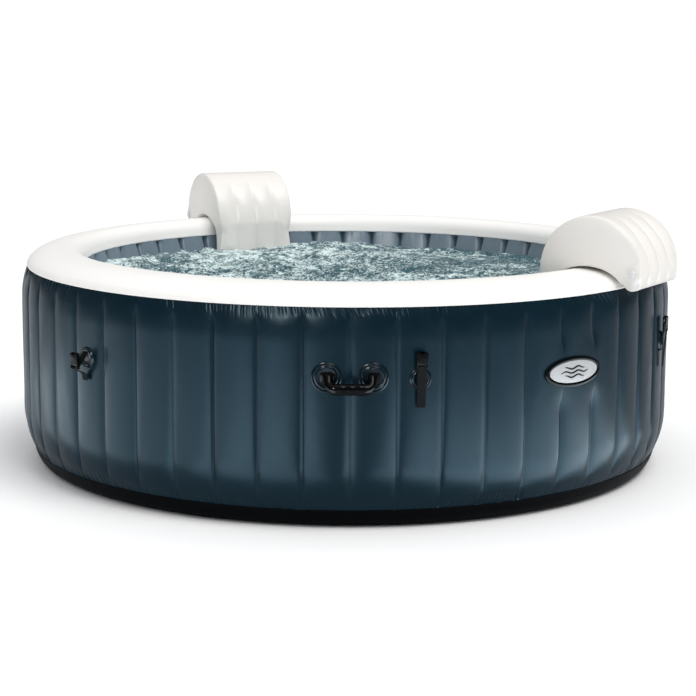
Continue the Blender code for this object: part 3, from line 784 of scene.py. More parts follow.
def make_top_rim(paint):
    """The rim, a little uneven, with faint gathers along both seams."""
    section = np.array(rim_profile())
    angles = column_angles(20)
    turn = angles[None, :]
    radii, heights = section[:, :1], section[:, 1:]
    inside = np.interp(np.arange(len(section)), [0, len(section) - 1], [0, 1])[:, None]
    crown = np.sin(np.pi * inside)
    near_outer = gathers(turn, OUTER_SEAM[0] - radii, RADIUS, 51, 0.0007, 0.03) * (inside < 0.5)
    from_inner = (radii - INNER_SEAM[0]) * 1.6
    near_inner = gathers(turn, from_inner, RADIUS, 61, 0.0008, 0.022) * (inside >= 0.5)
    soft = 0.0012 * ripple(turn / 360, 31, 71) * crown
    heights = heights + (near_outer + near_inner + soft) * crown ** 0.5
    rim = ring_object("top_rim_skin", angles, radii, heights, paint)
    belongs(rim, "tub", "white_pvc", "top_rim")


def inner_profile(height):
    """Radius of the corners of the inner wall, which bows towards the water."""
    (r0, z0), (r1, z1) = INNER_SEAM, INNER_FOOT
    chord = math.hypot(r0 - r1, z0 - z1)
    bend = (chord * chord / 4 + INNER_BULGE ** 2) / (2 * INNER_BULGE)
    share = np.clip((z0 - np.asarray(height, float)) / (z0 - z1), 0, 1)
    along = (share - 0.5) * chord
    return r0 + (r1 - r0) * share - (np.sqrt(bend * bend - along * along) - (bend - INNER_BULGE))


def inner_radius(angle, height):
    """Surface of the inner wall, with a dark notch at the top of each seam."""
    below, above = INNER_SEAM[1] - height, height - INNER_FOOT[1]
    depth = INNER_DEPTH * smooth_step(below, 0.0, 0.022) * smooth_step(above, 0.0, 0.06)
    off = nearest_seam(angle, 0.87)[1]
    open_by = 0.0035 + 0.0075 * np.exp(-below / 0.03)
    cut = smooth_step(below, 0.0, 0.008) * np.exp(-below / 0.16)
    notch = 0.024 * np.exp(-np.abs(off / open_by) ** 1.6) * cut
    radius = inner_profile(height) * math.cos(FACET) + depth * swell(angle, 17) + notch
    radius = radius - gathers(angle, below, LINING_GIRTH_RADIUS, 81, 0.0030, 0.009)
    return radius - gathers(angle, above, LINING_GIRTH_RADIUS, 91, 0.0016, 0.012)


def make_inner_wall(paint):
    heights = spaced(INNER_SEAM[1], INNER_FOOT[1], TOP_STEPS, LOW_STEPS, 16)
    angles = column_angles(34)
    radii = inner_radius(angles[None, :], heights[:, None])
    wall = ring_object("inner_wall_skin", angles, radii, heights[:, None], paint)
    belongs(wall, "tub", "lining_pvc", "inner_wall")


def make_base(paint):
    """Black underside: up from the flat ground ring round the corner to the lower seam."""
    a, b, c = Vector((GROUND_RADIUS, 0.0)), Vector(CORNER_CONTROL), Vector(LOWER_SEAM)
    steps = 18
    curve = [a.lerp(b, i / steps).lerp(b.lerp(c, i / steps), i / steps) for i in range(steps + 1)]
    seam, level = LOWER_SEAM
    section = [(INNER_FOOT[0], 0.0), (0.92, 0.0)] + [tuple(p) for p in curve]
    section = np.array(section + [(seam + 0.0005, level + 0.0016), (seam - 0.003, level + 0.002)])
    angles = column_angles(20)
    radii, up = section[:, :1], section[:, 1:]
    folds = gathers(angles[None, :], level - up + 0.004, RADIUS, 101, 0.0016, 0.016)
    radii = radii + folds * smooth_step(up, 0.004, 0.02) * (radii < seam - 0.0015)
    base = ring_object("base_skin", angles, radii, up, paint)
    belongs(base, "tub", "black_pvc", "base_ring")


def make_floor(black, lining):
    """Bottom sheet and the liner on it, the liner slightly quilted by its weld rings."""
    make_sheet("bottom_sheet_skin", "floor_sheet", black, "black_pvc", 0.0)
    make_sheet("liner_skin", "floor_liner", lining, "lining_pvc", 0.0011)


def make_sheet(name, node, paint, slot, swing):
    """Round sheet, closed on both sides and at its edge, with a small hole at its middle."""
    low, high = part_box(node)
    radii = np.linspace(0.004, high.x - 0.001, 46)[:, None]
    angles = column_angles(4)
    welds = np.abs(np.sin(radii * math.pi / 0.0845)) ** 0.25
    heights = high.z - swing * (1 - welds) * smooth_step(radii, 0.0, 0.03)
    top = ring_points(angles, radii, heights)
    under = ring_points(angles, radii, np.full_like(heights, low.z))[::-1]
    grid = np.concatenate([top, under])
    rows, columns = grid.shape[:2]
    faces = grid_faces(rows, columns, True)
    last = (rows - 1) * columns
    faces += [[last + k, last + (k + 1) % columns, (k + 1) % columns, k] for k in range(columns)]
    sheet = creased(mesh_object(name, grid.reshape(-1, 3), faces, paint), 40)
    belongs(sheet, "tub", slot, node)


def make_bubble_ring(paint):
    """Air channel on the floor: an arch over a flat foot, as thick as its sheet."""
    low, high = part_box("bubble_air_ring")
    inner = float(node_radii("bubble_air_ring").min())
    middle, half = (inner + high.x) / 2, (high.x - inner) / 2
    base = low.z + 0.0002
    arch = arc_points((middle, base), (half, high.z - base), 0, 180, 20)
    inside = arc_points((middle, base), (half - SKIN, high.z - base - SKIN), 180, 0, 20)
    ring = from_shape("bubble_ring_skin", turned(arch + inside, 200, closed=True), paint)
    belongs(ring, "tub", "bubble_ring_pvc", "bubble_air_ring")


def border(rows, columns):
    """Indices round the edge of a grid of rows x columns points."""
    last = (rows - 1) * columns
    right = [i * columns + columns - 1 for i in range(1, rows)]
    back = [last + j for j in range(columns - 2, -1, -1)]
    return list(range(columns)) + right + back + [i * columns for i in range(rows - 2, 0, -1)]


def make_beams(paint):
    """Tension beams: fifty thin sheets between the seams of the two walls, closed at their edges
    and each bowed a little its own way."""
    heights = np.linspace(0.014, 0.640, 22)
    outer = wall_radius(np.array([SEAM_ANGLE]), heights) - 0.004
    inner = inner_radius(np.array([SEAM_ANGLE]), heights) + 0.004
    outer[0] = GROUND_RADIUS
    rows, columns = len(heights), 8
    across = np.arange(columns) / (columns - 1)
    reach = inner[:, None] * (1 - across) + outer[:, None] * across
    edge = border(rows, columns)
    points, faces = [], []
    for k in range(PANELS):
        angle = math.radians(SEAM_ANGLE + 360.0 * k / PANELS)
        s, c = math.sin(angle), math.cos(angle)
        bow = 0.0015 * np.sin(math.pi * across) * np.sin(heights * 40 + k)[:, None]
        near = len(points)
        far = near + rows * columns
        for start, off in ((near, bow - BEAM_HALF), (far, bow + BEAM_HALF)):
            levels = np.broadcast_to(heights[:, None], off.shape)
            grid = np.stack([s * reach + c * off, -c * reach + s * off, levels], axis=-1)
            points += grid.reshape(-1, 3).tolist()
            quads = grid_faces(rows, columns, False, start)
            faces += quads if start == far else [q[::-1] for q in quads]
        faces += [[near + a, near + b, far + b, far + a] for a, b in zip(edge, edge[1:] + edge[:1])]
    beams = mesh_object("tension_beam_sheets", points, faces, paint, smooth=False)
    belongs(beams, "tub", "beam_pvc", "tension_beams")


# Things on the outer wall


def fitted(shape, angle, height, lift, soft=0.006):
    """Bends a bmesh in a wall frame so that what is nearer than soft to the wall follows its panel."""
    for vertex in shape.verts:
        x, y, z = vertex.co
        turn = angle + math.degrees(math.atan2(x, APOTHEM))
        surface = float(wall_radius(np.array([turn]), np.array([height + y]))[0])
        back = surface * math.cos(math.radians(turn - angle)) - APOTHEM
        share = 1.0 - float(smooth_step(z, soft, soft * 2.5))
        vertex.co.z = z + (back + lift) * share
    return shape


def ring_patch(radius, sheet, rise):
    """Section of a welded patch: flat hem, a round bead, a groove, a second bead and the dish."""
    bead, second = 0.88 * radius, 0.70 * radius
    return [(0, 0), (radius, 0), (radius, 0.5 * sheet), (radius - 0.0015, sheet), (bead + 0.0022, sheet),
            (bead + 0.0012, rise * 0.75), (bead, rise), (bead - 0.0012, rise * 0.75),
            (bead - 0.0024, sheet), (second + 0.0030, sheet), (second + 0.0012, rise * 0.9),
            (second - 0.0004, rise), (second - 0.0022, rise * 0.7), (second - 0.0040, sheet * 1.3),
            (second - 0.0100, sheet * 0.9), (0, sheet * 0.9)]


def dense(section, most=0.004):
    """Section with long stretches cut into short ones, so that it can bend."""
    made = [section[0]]
    for a, b in zip(section, section[1:]):
        count = max(1, int(math.ceil(math.dist(a, b) / most)))
        made += [(a[0] + (b[0] - a[0]) * k / count, a[1] + (b[1] - a[1]) * k / count)
                 for k in range(1, count + 1)]
    return made


def fitted_patch(name, node, radius, sheet, rise, paint):
    """Round welded patch that lies on the wall."""
    angle, height = where(node)
    shape = fitted(turned(dense(ring_patch(radius, sheet, rise))), angle, height, 0.0006)
    patch = from_shape(name, shape, paint, 60)
    patch.matrix_world = wall_frame(angle, height)
    belongs(patch, "tub", "navy_patch", node)


GRIP_HALF_SPAN = 0.062  # from the middle of a grip to each of its legs
GRIP_HANG = 0.036
GRIP_BEND = 0.022
GRIP_TILT = math.radians(-40.0)  # how far a resting grip stands out from the wall
GRIP_THIN, GRIP_THICK = 0.0120, 0.0168


def grip_line():
    """Centre line of a grip and its radii: free ends above the pins, legs, bends, thick middle."""
    line = [(GRIP_HALF_SPAN, y, r) for y, r in ((0.0125, 0.0035), (0.0112, 0.0072), (0.0080, 0.0100),
                                                (0.0030, GRIP_THIN), (-0.0040, GRIP_THIN))]
    inner, steps = GRIP_HALF_SPAN - GRIP_BEND, 9
    for i in range(steps + 1):
        angle = math.pi / 2 * i / steps
        swollen = GRIP_THIN + (GRIP_THICK - GRIP_THIN) * smooth_step(np.array(i / steps), 0.1, 1.0)
        line.append((inner + GRIP_BEND * math.cos(angle),
                     -(GRIP_HANG - GRIP_BEND) - GRIP_BEND * math.sin(angle), float(swollen)))
    for i in range(1, 9):
        x = inner * (1 - i / 8)
        line.append((x, -GRIP_HANG, GRIP_THICK + 0.0005 * math.cos(x / inner * math.pi * 3)))
    return line + [(-x, y, r) for x, y, r in line[-2::-1]]


def make_handles(navy, gloss):
    """Two grips, each on two patches with a moulded seat."""
    line = grip_line()
    points, faces = swept([(x, y, 0) for x, y, r in line], [r for x, y, r in line], 28)
    for side in ("front", "rear"):
        pivot = pivot_of(f"{side}_handle_swing")
        radius = pivot.xy.length
        out = wall_frame(angle_of(pivot), pivot.z, radius)
        grip = creased(mesh_object(f"{side}_grip_bar", points, faces, gloss), 60)
        grip.matrix_world = out @ Matrix.Rotation(GRIP_TILT, 4, "X")
        belongs(grip, f"{side}_handle", "black_gloss_plastic", f"{side}_handle_grip")
        for label, way in (("left", -1), ("right", 1)):
            node = f"{side}_handle_patch_{label}"
            fitted_patch(f"{side}_patch_{label}", node, 0.0450, 0.0028, 0.0058, navy)
            mount = handle_mount(f"{side}_mount_{label}", gloss, radius - APOTHEM * math.cos(FACET))
            mount.matrix_world = out @ Matrix.Translation((way * GRIP_HALF_SPAN, 0, 0))
            belongs(mount, "tub", "black_gloss_plastic")


def handle_mount(name, paint, off_wall):
    """Moulded seat on a patch: a base plate, two cheeks and the pin that a grip turns on."""
    plate = rounded(slab(0.0235, 0.0, 0.0150), 0.007, closed=True, steps=4)
    cheek = rounded(quad(0.0090, 0.0020 - off_wall, 0.0060, 0.0050), 0.004, closed=True, steps=4)
    turns = [math.tau * k / 16 for k in range(16)]
    pin = [(0.0024 * math.cos(turn), 0.0024 * math.sin(turn)) for turn in turns]
    shapes = [prism(plate, 0.0010 - off_wall, 0.0042 - off_wall)]
    shapes += [prism(cheek, side * 0.0152 - 0.0017, side * 0.0152 + 0.0017, True) for side in (-1, 1)]
    shapes.append(prism(pin, -0.0150, 0.0150, True))
    return softened(from_shape(name, joined(shapes), paint), 0.0006)


def band_object(name, route, width, thickness, paint):
    """Flat strap along a (up, out) route, with rounded edges and a UV map in metres."""
    fine = catmull([Vector(p) for p in route], 6)
    edge = thickness / 2
    loop = [(-width / 2, 0.0), (-width / 2 + edge * 0.4, -edge * 0.8), (-width / 2 + edge * 1.4, -edge)]
    loop += [(share * width / 2, -edge) for share in (-0.7, -0.35, 0.0, 0.35, 0.7)]
    loop += [(-x, z) for x, z in loop[2::-1]]
    loop += [(x, -z) for x, z in loop[-2:0:-1]]
    points, lengths = [], [0.0]
    for i, centre in enumerate(fine):
        way = (fine[min(i + 1, len(fine) - 1)] - fine[max(i - 1, 0)]).normalized()
        normal = Vector((-way.y, way.x))
        if i:
            lengths.append(lengths[-1] + (centre - fine[i - 1]).length)
        points += [(x, *(centre + normal * z)) for x, z in loop]
    faces = grid_faces(len(fine), len(loop), True)
    faces.append(list(range(len(loop))))
    faces.append([len(points) - len(loop) + k for k in range(len(loop))][::-1])
    strap = creased(mesh_object(name, points, faces, paint), 60)
    layer = strap.data.uv_layers.new(name="UVMap")
    for corner in strap.data.loops:
        row, column = divmod(corner.vertex_index, len(loop))
        layer.data[corner.index].uv = (loop[column][0], lengths[row])
    return strap


def catmull(line, per_span):
    """Smooth curve through points."""
    ends = [line[0] * 2 - line[1]] + list(line) + [line[-1] * 2 - line[-2]]
    made = []
    for a, b, c, d in zip(ends, ends[1:], ends[2:], ends[3:]):
        for k in range(per_span):
            t = k / per_span
            made.append(0.5 * (2 * b + (c - a) * t + (2 * a - 5 * b + 4 * c - d) * t * t
                               + (3 * b - a - 3 * c + d) * t ** 3))
    return made + [line[-1]]


def strap_route(bar, proud):
    """Side view of a strap as (up, out): sewn to its patch, round the buckle's bar, loose tail.
    A proud one stands out from the wall."""
    up, out = bar
    if proud:
        sewn = [(0.018, 0.0040), (0.009, 0.0110), (-0.012, 0.0280), (up + 0.0045, out - 0.0070)]
        start, end = 0, 180
        tail = [(-0.044, 0.0180), (-0.052, 0.0100), (-0.068, 0.0075)]
    else:
        sewn = [(-0.012, 0.0040), (0.008, 0.0048)]
        start, end = -90, 90
        tail = [(-0.020, 0.0135), (-0.055, 0.0105), (-0.082, 0.0090)]
    return sewn + arc_points(bar, (0.0042, 0.0042), start, end, 6) + tail


def buckle_mesh(paint):
    """Socket half of a side-release buckle: open pocket, side windows, strap slot with a bar
    and grip ribs on its face."""
    half, length, depth, bar = 0.0175, 0.0460, 0.0120, 0.0020
    right = [(half - 0.0012, -bar), (half - 0.0012, 0.022), (half - 0.0004, 0.028), (half, 0.033),
             (half, length - 0.006), (half - 0.0015, length - 0.002), (half - 0.004, length)]
    outline = right + [(-x, y) for x, y in right[::-1]]
    body = from_shape("buckle", prism(outline, -depth / 2, depth / 2), paint)
    inside = 0.0276
    cuts = [box_shape((inside, 0.0065, depth + 0.002), (0, 0.00525, 0)),
            box_shape((inside, 0.0125, 0.0060), (0, 0.00225, bar + 0.0030)),
            box_shape((inside, 0.0125, 0.0060), (0, 0.00225, -bar - 0.0030)),
            box_shape((0.0265, 0.0280, 0.0074), (0, length - 0.012, 0)),
            box_shape((0.0700, 0.0120, 0.0050), (0, length - 0.0135, 0)),
            box_shape((0.0090, 0.0100, 0.0100), (0, length, 0.0050))]
    tool = from_shape("buckle_cuts", joined(cuts), paint)
    step = body.modifiers.new("cuts", "BOOLEAN")
    step.object = tool
    step.operation = "DIFFERENCE"
    step.solver = "EXACT"
    step.use_self = True
    baked(body)
    unlinked(tool)
    softened(body, 0.0006, 2, 30)
    ribs = [prism(rounded(slab(0.0115, y, 0.0007), 0.0006, closed=True), depth / 2 - 0.0006,
                  depth / 2 + 0.0005) for y in (0.0125, 0.0155, 0.0185)]
    return unlinked(from_shape("buckle", joined(ribs, unlinked(body)), paint, 40))


def make_straps(navy, cloth, black):
    """A patch, a webbing loop and a buckle for each joint that a buckle folds about."""
    buckle = buckle_mesh(black)
    sides = [name[len("buckle_"):-len("_fold")] for name in JOINTS if name.startswith("buckle_")]
    for side in sides:
        fitted_patch(f"{side}_strap_base", f"strap_patch_{side}", 0.0325, 0.0024, 0.0048, navy)
        spot = wall_frame(*where(f"strap_patch_{side}"))
        bar = (spot.inverted() @ pivot_of(f"buckle_{side}_fold")).yz
        route = strap_route(bar, proud=bar[0] < 0)
        strap = band_object(f"{side}_strap_band", route, 0.0265, 0.0015, cloth)
        strap.matrix_world = spot
        belongs(strap, "tub", "black_webbing", f"strap_webbing_{side}")
        clip = linked(f"{side}_strap_clip", buckle, spot @ Matrix.Translation((0, *bar)))
        belongs(clip, f"buckle_{side}", "black_plastic", f"strap_buckle_{side}")


def badge_place():
    turn = Matrix.Rotation(math.radians(BADGE_ANGLE), 4, "Z")
    return turn @ Matrix.Translation((0, 0, BADGE_HEIGHT))


def on_wall(x, y, level):
    """Point of a drawing that is wrapped round the tub at a radius."""
    return (level * math.sin(x / level), -level * math.cos(x / level), y)


def wrapped_oval(name, half, low, high, paint, crown, hole=None):
    """Oval plate or, with a hole, an oval ring, bent round the wall; crown domes its face."""
    steps, rings = 96, 10
    inner = hole or (0.0, 0.0)
    rows = []
    for k in range(rings + 1):
        t = k / rings
        dome = crown * (1 - (2 * t - 1) ** 2 if hole else 1 - t ** 3)
        rows.append(([a + (b - a) * t for a, b in zip(inner, half)], high + dome))
    rows += [(half, low), (inner if hole else [side * 0.5 for side in half], low)]
    if not hole:
        rows.append((inner, low))
    shape = bmesh.new()
    loops = []
    for size, level in rows:
        turns = [math.tau * i / steps for i in range(steps)] if max(size) > 0 else [math.pi / 2]
        loops.append([shape.verts.new(on_wall(size[0] * math.cos(turn), size[1] * math.sin(turn), level))
                      for turn in turns])
    if hole:
        loops.append(loops[0])
    made = from_shape(name, bridged(shape, loops), paint, 45)
    made.matrix_world = badge_place()
    return made


def make_badge(black, silver):
    """Raised oval frame, silver face and three plain waves."""
    tall = half_height("badge_plate")
    wide = 0.115 * tall / 0.045
    back = RADIUS + 0.0003
    plate = wrapped_oval("badge_frame", (wide, tall), back, back + 0.0026, black, 0.0016,
                         hole=(wide - 0.0165, tall - 0.0120))
    belongs(plate, "tub", "black_plastic", "badge_plate")
    face = wrapped_oval("badge_dial", (wide - 0.0150, tall - 0.0105), back + 0.0002, back + 0.0022,
                        silver, 0.0014)
    belongs(face, "tub", "badge_silver", "badge_face")
    make_waves(back + 0.0034, black)


def make_waves(level, paint):
    """Three waves that taper at both ends, the middle one longest."""
    steps = 60
    points, faces = [], []
    for row, reach in ((-1, 0.040), (0, 0.056), (1, 0.040)):
        spots, radii = [], []
        for i in range(steps + 1):
            x = reach * (2 * i / steps - 1)
            spots.append(on_wall(x, row * 0.0125 + 0.0032 * math.sin(x / 0.0255 * math.pi), level))
            radii.append(0.0027 * math.sin(math.pi * min(max(i / steps, 0.02), 0.98)) ** 0.35)
        some, quads = swept(spots, radii, 12)
        faces += [[index + len(points) for index in corners] for corners in quads]
        points += some
    mark = mesh_object("badge_waves", points, faces, paint)
    mark.matrix_world = badge_place()
    belongs(mark, "tub", "black_plastic")


# Valves and ports


def hinge_tab(low_half, low, high_half, high, corner, top):
    """Thin tab from below a cap's hinge to just above it."""
    outline = rounded(quad(low_half, -low, high_half, high), corner, closed=True)
    return prism(outline, 0.0004, top)


def knurled(radius, height, teeth, depth):
    """Cap with a toothed side and a dished top, closed, standing on z = 0."""
    turns = [math.tau * i / (teeth * 6) for i in range(teeth * 6)]
    toothed, plain = depth, 0.0
    shape = bmesh.new()
    loops = []
    for up, share, cut in ((0.0, 0.96, plain), (0.08, 1.0, toothed), (0.80, 1.0, toothed),
                           (0.93, 0.965, plain), (1.0, 0.90, plain), (0.88, 0.80, plain),
                           (0.86, 0.4, plain)):
        radii = [radius * share - cut * (0.5 + 0.5 * math.cos(turn * teeth)) ** 2 for turn in turns]
        loops.append([shape.verts.new((r * math.cos(turn), r * math.sin(turn), up * height))
                      for r, turn in zip(radii, turns)])
    bridged(shape, loops)
    shape.faces.new(loops[-1])
    shape.faces.new(loops[0][::-1])
    return shape


def make_valve(label, grey, black):
    """Seat of a valve on the wall and its cap, which hinges on a tab above it."""
    angle, height = where(f"{label}_valve_base")
    spot = wall_frame(angle, height)
    section = [(0, 0), (0.034, 0), (0.034, 0.0016), (0.0325, 0.0028), (0.0265, 0.0034), (0.0255, 0.0050),
               (0.0240, 0.0050), (0.0232, 0.0040), (0.0220, 0.0046), (0.0216, 0.0098), (0.0195, 0.0100),
               (0.0185, 0.0075), (0, 0.0075)]
    shape = fitted(turned(dense(section, 0.003)), angle, height, 0.0006, 0.004)
    base = from_shape(f"{label}_valve_seat", shape, grey)
    base.matrix_world = spot
    belongs(base, "tub", "grey_plastic", f"{label}_valve_base")
    local = spot.inverted() @ pivot_of(f"{label}_cap_lift")
    lid = knurled(0.0240, 0.0058, 24, 0.0009)
    bmesh.ops.translate(lid, verts=lid.verts, vec=(0, -local.y, 0.0001))
    tab = hinge_tab(0.0060, 0.0125, 0.0045, 0.0005, 0.0015, 0.0022)
    grips = [prism(rounded(slab(0.0150, -local.y + y, 0.0012), 0.001, closed=True), 0.0045, 0.0060)
             for y in (-0.004, 0.004)]
    cap = from_shape(f"{label}_valve_lid", joined([lid, tab, *grips]), black, 30)
    cap.matrix_world = spot @ Matrix.Translation((0, local.y, local.z))
    belongs(cap, f"{label}_cap", "black_plastic", f"{label}_valve_cap")


def make_port(node, grey):
    """Threaded stub with a flange; the thread is four rings."""
    angle, height = where(node)
    flange = half_height(node)
    radius = flange - 0.014
    bore, root = radius - 0.005, radius - 0.0016
    reach = 0.040
    section = [(bore, 0.0008), (flange, 0.0008), (flange, 0.0028), (flange - 0.0015, 0.0040),
               (radius + 0.0030, 0.0048), (radius + 0.0002, 0.0075)]
    for k in range(4):
        z = 0.017 + 0.0052 * k
        section += [(root, z - 0.0014), (radius, z - 0.0004), (radius, z + 0.0004), (root, z + 0.0014)]
    section += [(root, reach - 0.0020), (radius - 0.0028, reach - 0.0002),
                (bore + 0.0010, reach - 0.0002), (bore, reach - 0.0012)]
    shape = fitted(turned(section, ROUND, closed=True), angle, height, 0.0, 0.0035)
    port = from_shape(f"{node}_stub", shape, grey, 32)
    port.matrix_world = wall_frame(angle, height)
    belongs(port, "tub", "grey_plastic", node)


def make_cover(node, grey):
    """Slotted dome over a water port inside the tub."""
    angle, height = where(node)
    radius = half_height(node)
    level = np.abs(node_points(node)[:, 2] - height) < 0.012
    outermost = float(node_radii(node)[level].max())
    section = rounded([(0, 0), (radius, 0), (radius, 0.006), (radius * 0.86, 0.0165),
                       (radius * 0.5, 0.022), (0, 0.022)], 0.003)
    shape = turned(dense(section, 0.003), 96)
    for vertex in shape.verts:
        away = vertex.co.xy.length
        slot = max(0.0, math.cos(math.atan2(vertex.co.y, vertex.co.x) * 12)) ** 6
        band = smooth_step(away, radius * 0.42, radius * 0.5)
        band = band * (1 - smooth_step(away, radius * 0.86, radius * 0.93))
        if vertex.co.z > 0.004:
            vertex.co.z -= 0.0040 * slot * float(band)
    cover = from_shape(f"{node}_dome", shape, grey, 40)
    cover.matrix_world = wall_frame(angle, height, outermost, outward=-1)
    belongs(cover, "tub", "grey_plastic", node)


def make_pipe(node, grey):
    """Ribbed hose through the ring from the cover to the port."""
    radius = half_height(node)
    radii = node_radii(node)
    start, end = float(radii.min()) - APOTHEM + 0.001, float(radii.max()) - APOTHEM - 0.002
    count, ribs = 60, 24
    outside = [(radius - 0.0012 + 0.0012 * math.sin(k / count * ribs * math.tau),
                start + (end - start) * k / count) for k in range(count + 1)]
    inside = [(radius - 0.0032, z) for z in (end, start)]
    pipe = from_shape(f"{node}_hose", turned(outside + inside, 40, closed=True), grey, 60)
    pipe.matrix_world = wall_frame(*where(node))
    belongs(pipe, "tub", "grey_plastic", node)


# Headrests


HEADREST_HALF = 0.150  # half its width
GROOVES = (-0.075, 0.0, 0.075)
INSET = 0.0065  # how much smaller the pad is before it is blown up
MOVE_LIMIT = 0.009  # the furthest that the air may push a point
BLOW_FRAMES = 20
HINGE = 0.0125  # from the middle of a headrest's valve to its cap's hinge


def headrest_chains(inset):
    """The outer and the saddle side of a headrest's section as (radius, height), both from the
    bottom of the inner foot to the bottom of the outer one."""
    inner = (0.808, 0.548), (0.018 - inset, 0.018 - inset)
    outer = (1.1035, 0.667), (0.0335 - inset, 0.022 - inset)
    arch = arc_points((0.962, 0.700), (0.177 - inset, 0.183 - inset), 180, 0, 60)
    saddle = arc_points((0.951, 0.640), (0.121 + inset * 0.2, 0.077 + inset * 0.2), 175, 25, 50)
    over = arc_points(*inner, 262, 190, 6) + arch + arc_points(*outer, 345, 262, 8)
    return over, arc_points(*inner, 262, 355, 6) + saddle + arc_points(*outer, 180, 262, 8)


def resampled(chain, count):
    """A number of even steps along a section line."""
    points = np.array(chain)
    steps = np.concatenate([[0], np.cumsum(np.hypot(*np.diff(points, axis=0).T))])
    places = np.linspace(0, steps[-1], count)
    return np.stack([np.interp(places, steps, values) for values in points.T], axis=1)


def headrest_mesh(paint):
    """Closed pad in a wall frame (x across, y up, z out), swollen by a cloth simulation with
    its underside held, then with its welded grooves pressed in."""
    over, under = (resampled(chain, 120) for chain in headrest_chains(INSET))
    half = HEADREST_HALF - INSET
    across = np.linspace(-half, half, 46)[None, :]
    share = np.linspace(0, 1, 9)[None, :, None]
    end = over[:, None, :] * (1 - share) + under[:, None, :] * share
    points, faces = [], []
    for x, line, flip in ((across, over[:, None, :], False), (across, under[:, None, :], True),
                          (-half, end, True), (half, end, False)):
        grid = np.stack(np.broadcast_arrays(x, line[:, :, 1], line[:, :, 0]), axis=-1)
        quads = grid_faces(*grid.shape[:2], False, len(points))
        faces += [q[::-1] for q in quads] if flip else quads
        points += grid.reshape(-1, 3).tolist()
    pad = mesh_object("headrest_form", points, faces, paint)
    shape = bmesh.new()
    shape.from_mesh(pad.data)
    bmesh.ops.remove_doubles(shape, verts=shape.verts, dist=1e-6)
    bmesh.ops.recalc_face_normals(shape, faces=shape.faces)
    shape.to_mesh(pad.data)
    shape.free()
    swell_pad(pad, under)
    press_grooves(pad)
    return unlinked(pad)


def move_points(mesh, spots):
    for vertex, spot in zip(mesh.vertices, spots):
        vertex.co = spot


def swell_pad(pad, held_line):
    """Blows the pad up by a short cloth simulation that holds what lies on a section line, with a
    limit on how far a point may go."""
    start = points_of(pad.data)
    gap = nearest_on(start, held_line)[0]
    group = pad.vertex_groups.new(name="held")
    group.add([int(i) for i in np.flatnonzero(gap < 0.0015)], 1.0, "REPLACE")
    cloth = pad.modifiers.new("cloth", "CLOTH")
    settings = {"quality": 6, "mass": 0.3, "tension_stiffness": 12.0, "compression_stiffness": 12.0,
                "shear_stiffness": 4.0, "bending_stiffness": 0.4, "use_pressure": True,
                "uniform_pressure_force": 4.0, "vertex_group_mass": "held"}
    for key, value in settings.items():
        setattr(cloth.settings, key, value)
    cloth.settings.effector_weights.gravity = 0.0
    cloth.collision_settings.use_collision = False
    cloth.point_cache.frame_start, cloth.point_cache.frame_end = 1, BLOW_FRAMES
    for number in range(1, BLOW_FRAMES + 1):
        bpy.context.scene.frame_set(number)
    depsgraph = bpy.context.evaluated_depsgraph_get()
    blown = bpy.data.meshes.new_from_object(pad.evaluated_get(depsgraph))
    end = points_of(blown)
    bpy.data.meshes.remove(blown)
    pad.modifiers.clear()
    bpy.context.scene.frame_set(1)
    travel = evened(pad.data, end - start, 14)
    length = np.linalg.norm(travel, axis=1, keepdims=True)
    move_points(pad.data, start + travel * np.minimum(1.0, MOVE_LIMIT / np.maximum(length, 1e-9)))


def evened(mesh, values, times):
    """Averages a value of each point with its neighbours' several times."""
    ends = np.array([edge.vertices for edge in mesh.edges])
    count = np.bincount(ends.ravel(), minlength=len(values))[:, None]
    for _ in range(times):
        total = np.zeros_like(values)
        np.add.at(total, ends[:, 0], values[ends[:, 1]])
        np.add.at(total, ends[:, 1], values[ends[:, 0]])
        values = 0.5 * values + 0.5 * total / count
    return values


def press_grooves(pad):
    """Subdivides the pad and presses in its welded channels, which fade out over the crown."""
    finer = pad.modifiers.new("finer", "SUBSURF")
    finer.levels = finer.render_levels = 1
    baked(pad)
    normals = np.array([vertex.normal for vertex in pad.data.vertices])
    spots = points_of(pad.data)
    over, under = (resampled(chain, 240) for chain in headrest_chains(0.0))
    near, place = nearest_on(spots, over)
    outside = (near < nearest_on(spots, under)[0]).astype(float)
    inner = smooth_step(place, 0.010, 0.045) * (1 - smooth_step(place, 0.27, 0.47))
    outer = smooth_step(place, 0.60, 0.76) * (1 - smooth_step(place, 0.945, 0.965))
    depth = np.zeros(len(spots))
    for groove in GROOVES:
        off = np.abs(spots[:, 0] - groove)
        depth += 0.0075 * np.exp(-(off / 0.0085)) + 0.0050 * np.exp(-((off / 0.024) ** 2))
    outward = (np.abs(normals[:, 0]) < 0.6) * outside
    edge = smooth_step(np.abs(spots[:, 0]), 0.10, 0.14)
    wrinkle = 0.0007 * field(spots[:, 0], place * 0.55, 0.014, 201) * edge
    shift = (wrinkle - depth * np.maximum(inner, outer)) * outward
    move_points(pad.data, spots + normals * shift[:, None])
    pad.data.shade_smooth()


def nearest_on(spots, line):
    """Distance of each point from a section line, and how far along it the nearest place is."""
    best = np.full(len(spots), 1e9)
    place = np.zeros(len(spots))
    for i, (radius, height) in enumerate(line):
        away = np.hypot(spots[:, 2] - radius, spots[:, 1] - height)
        place = np.where(away < best, i / (len(line) - 1), place)
        best = np.minimum(best, away)
    return best, place


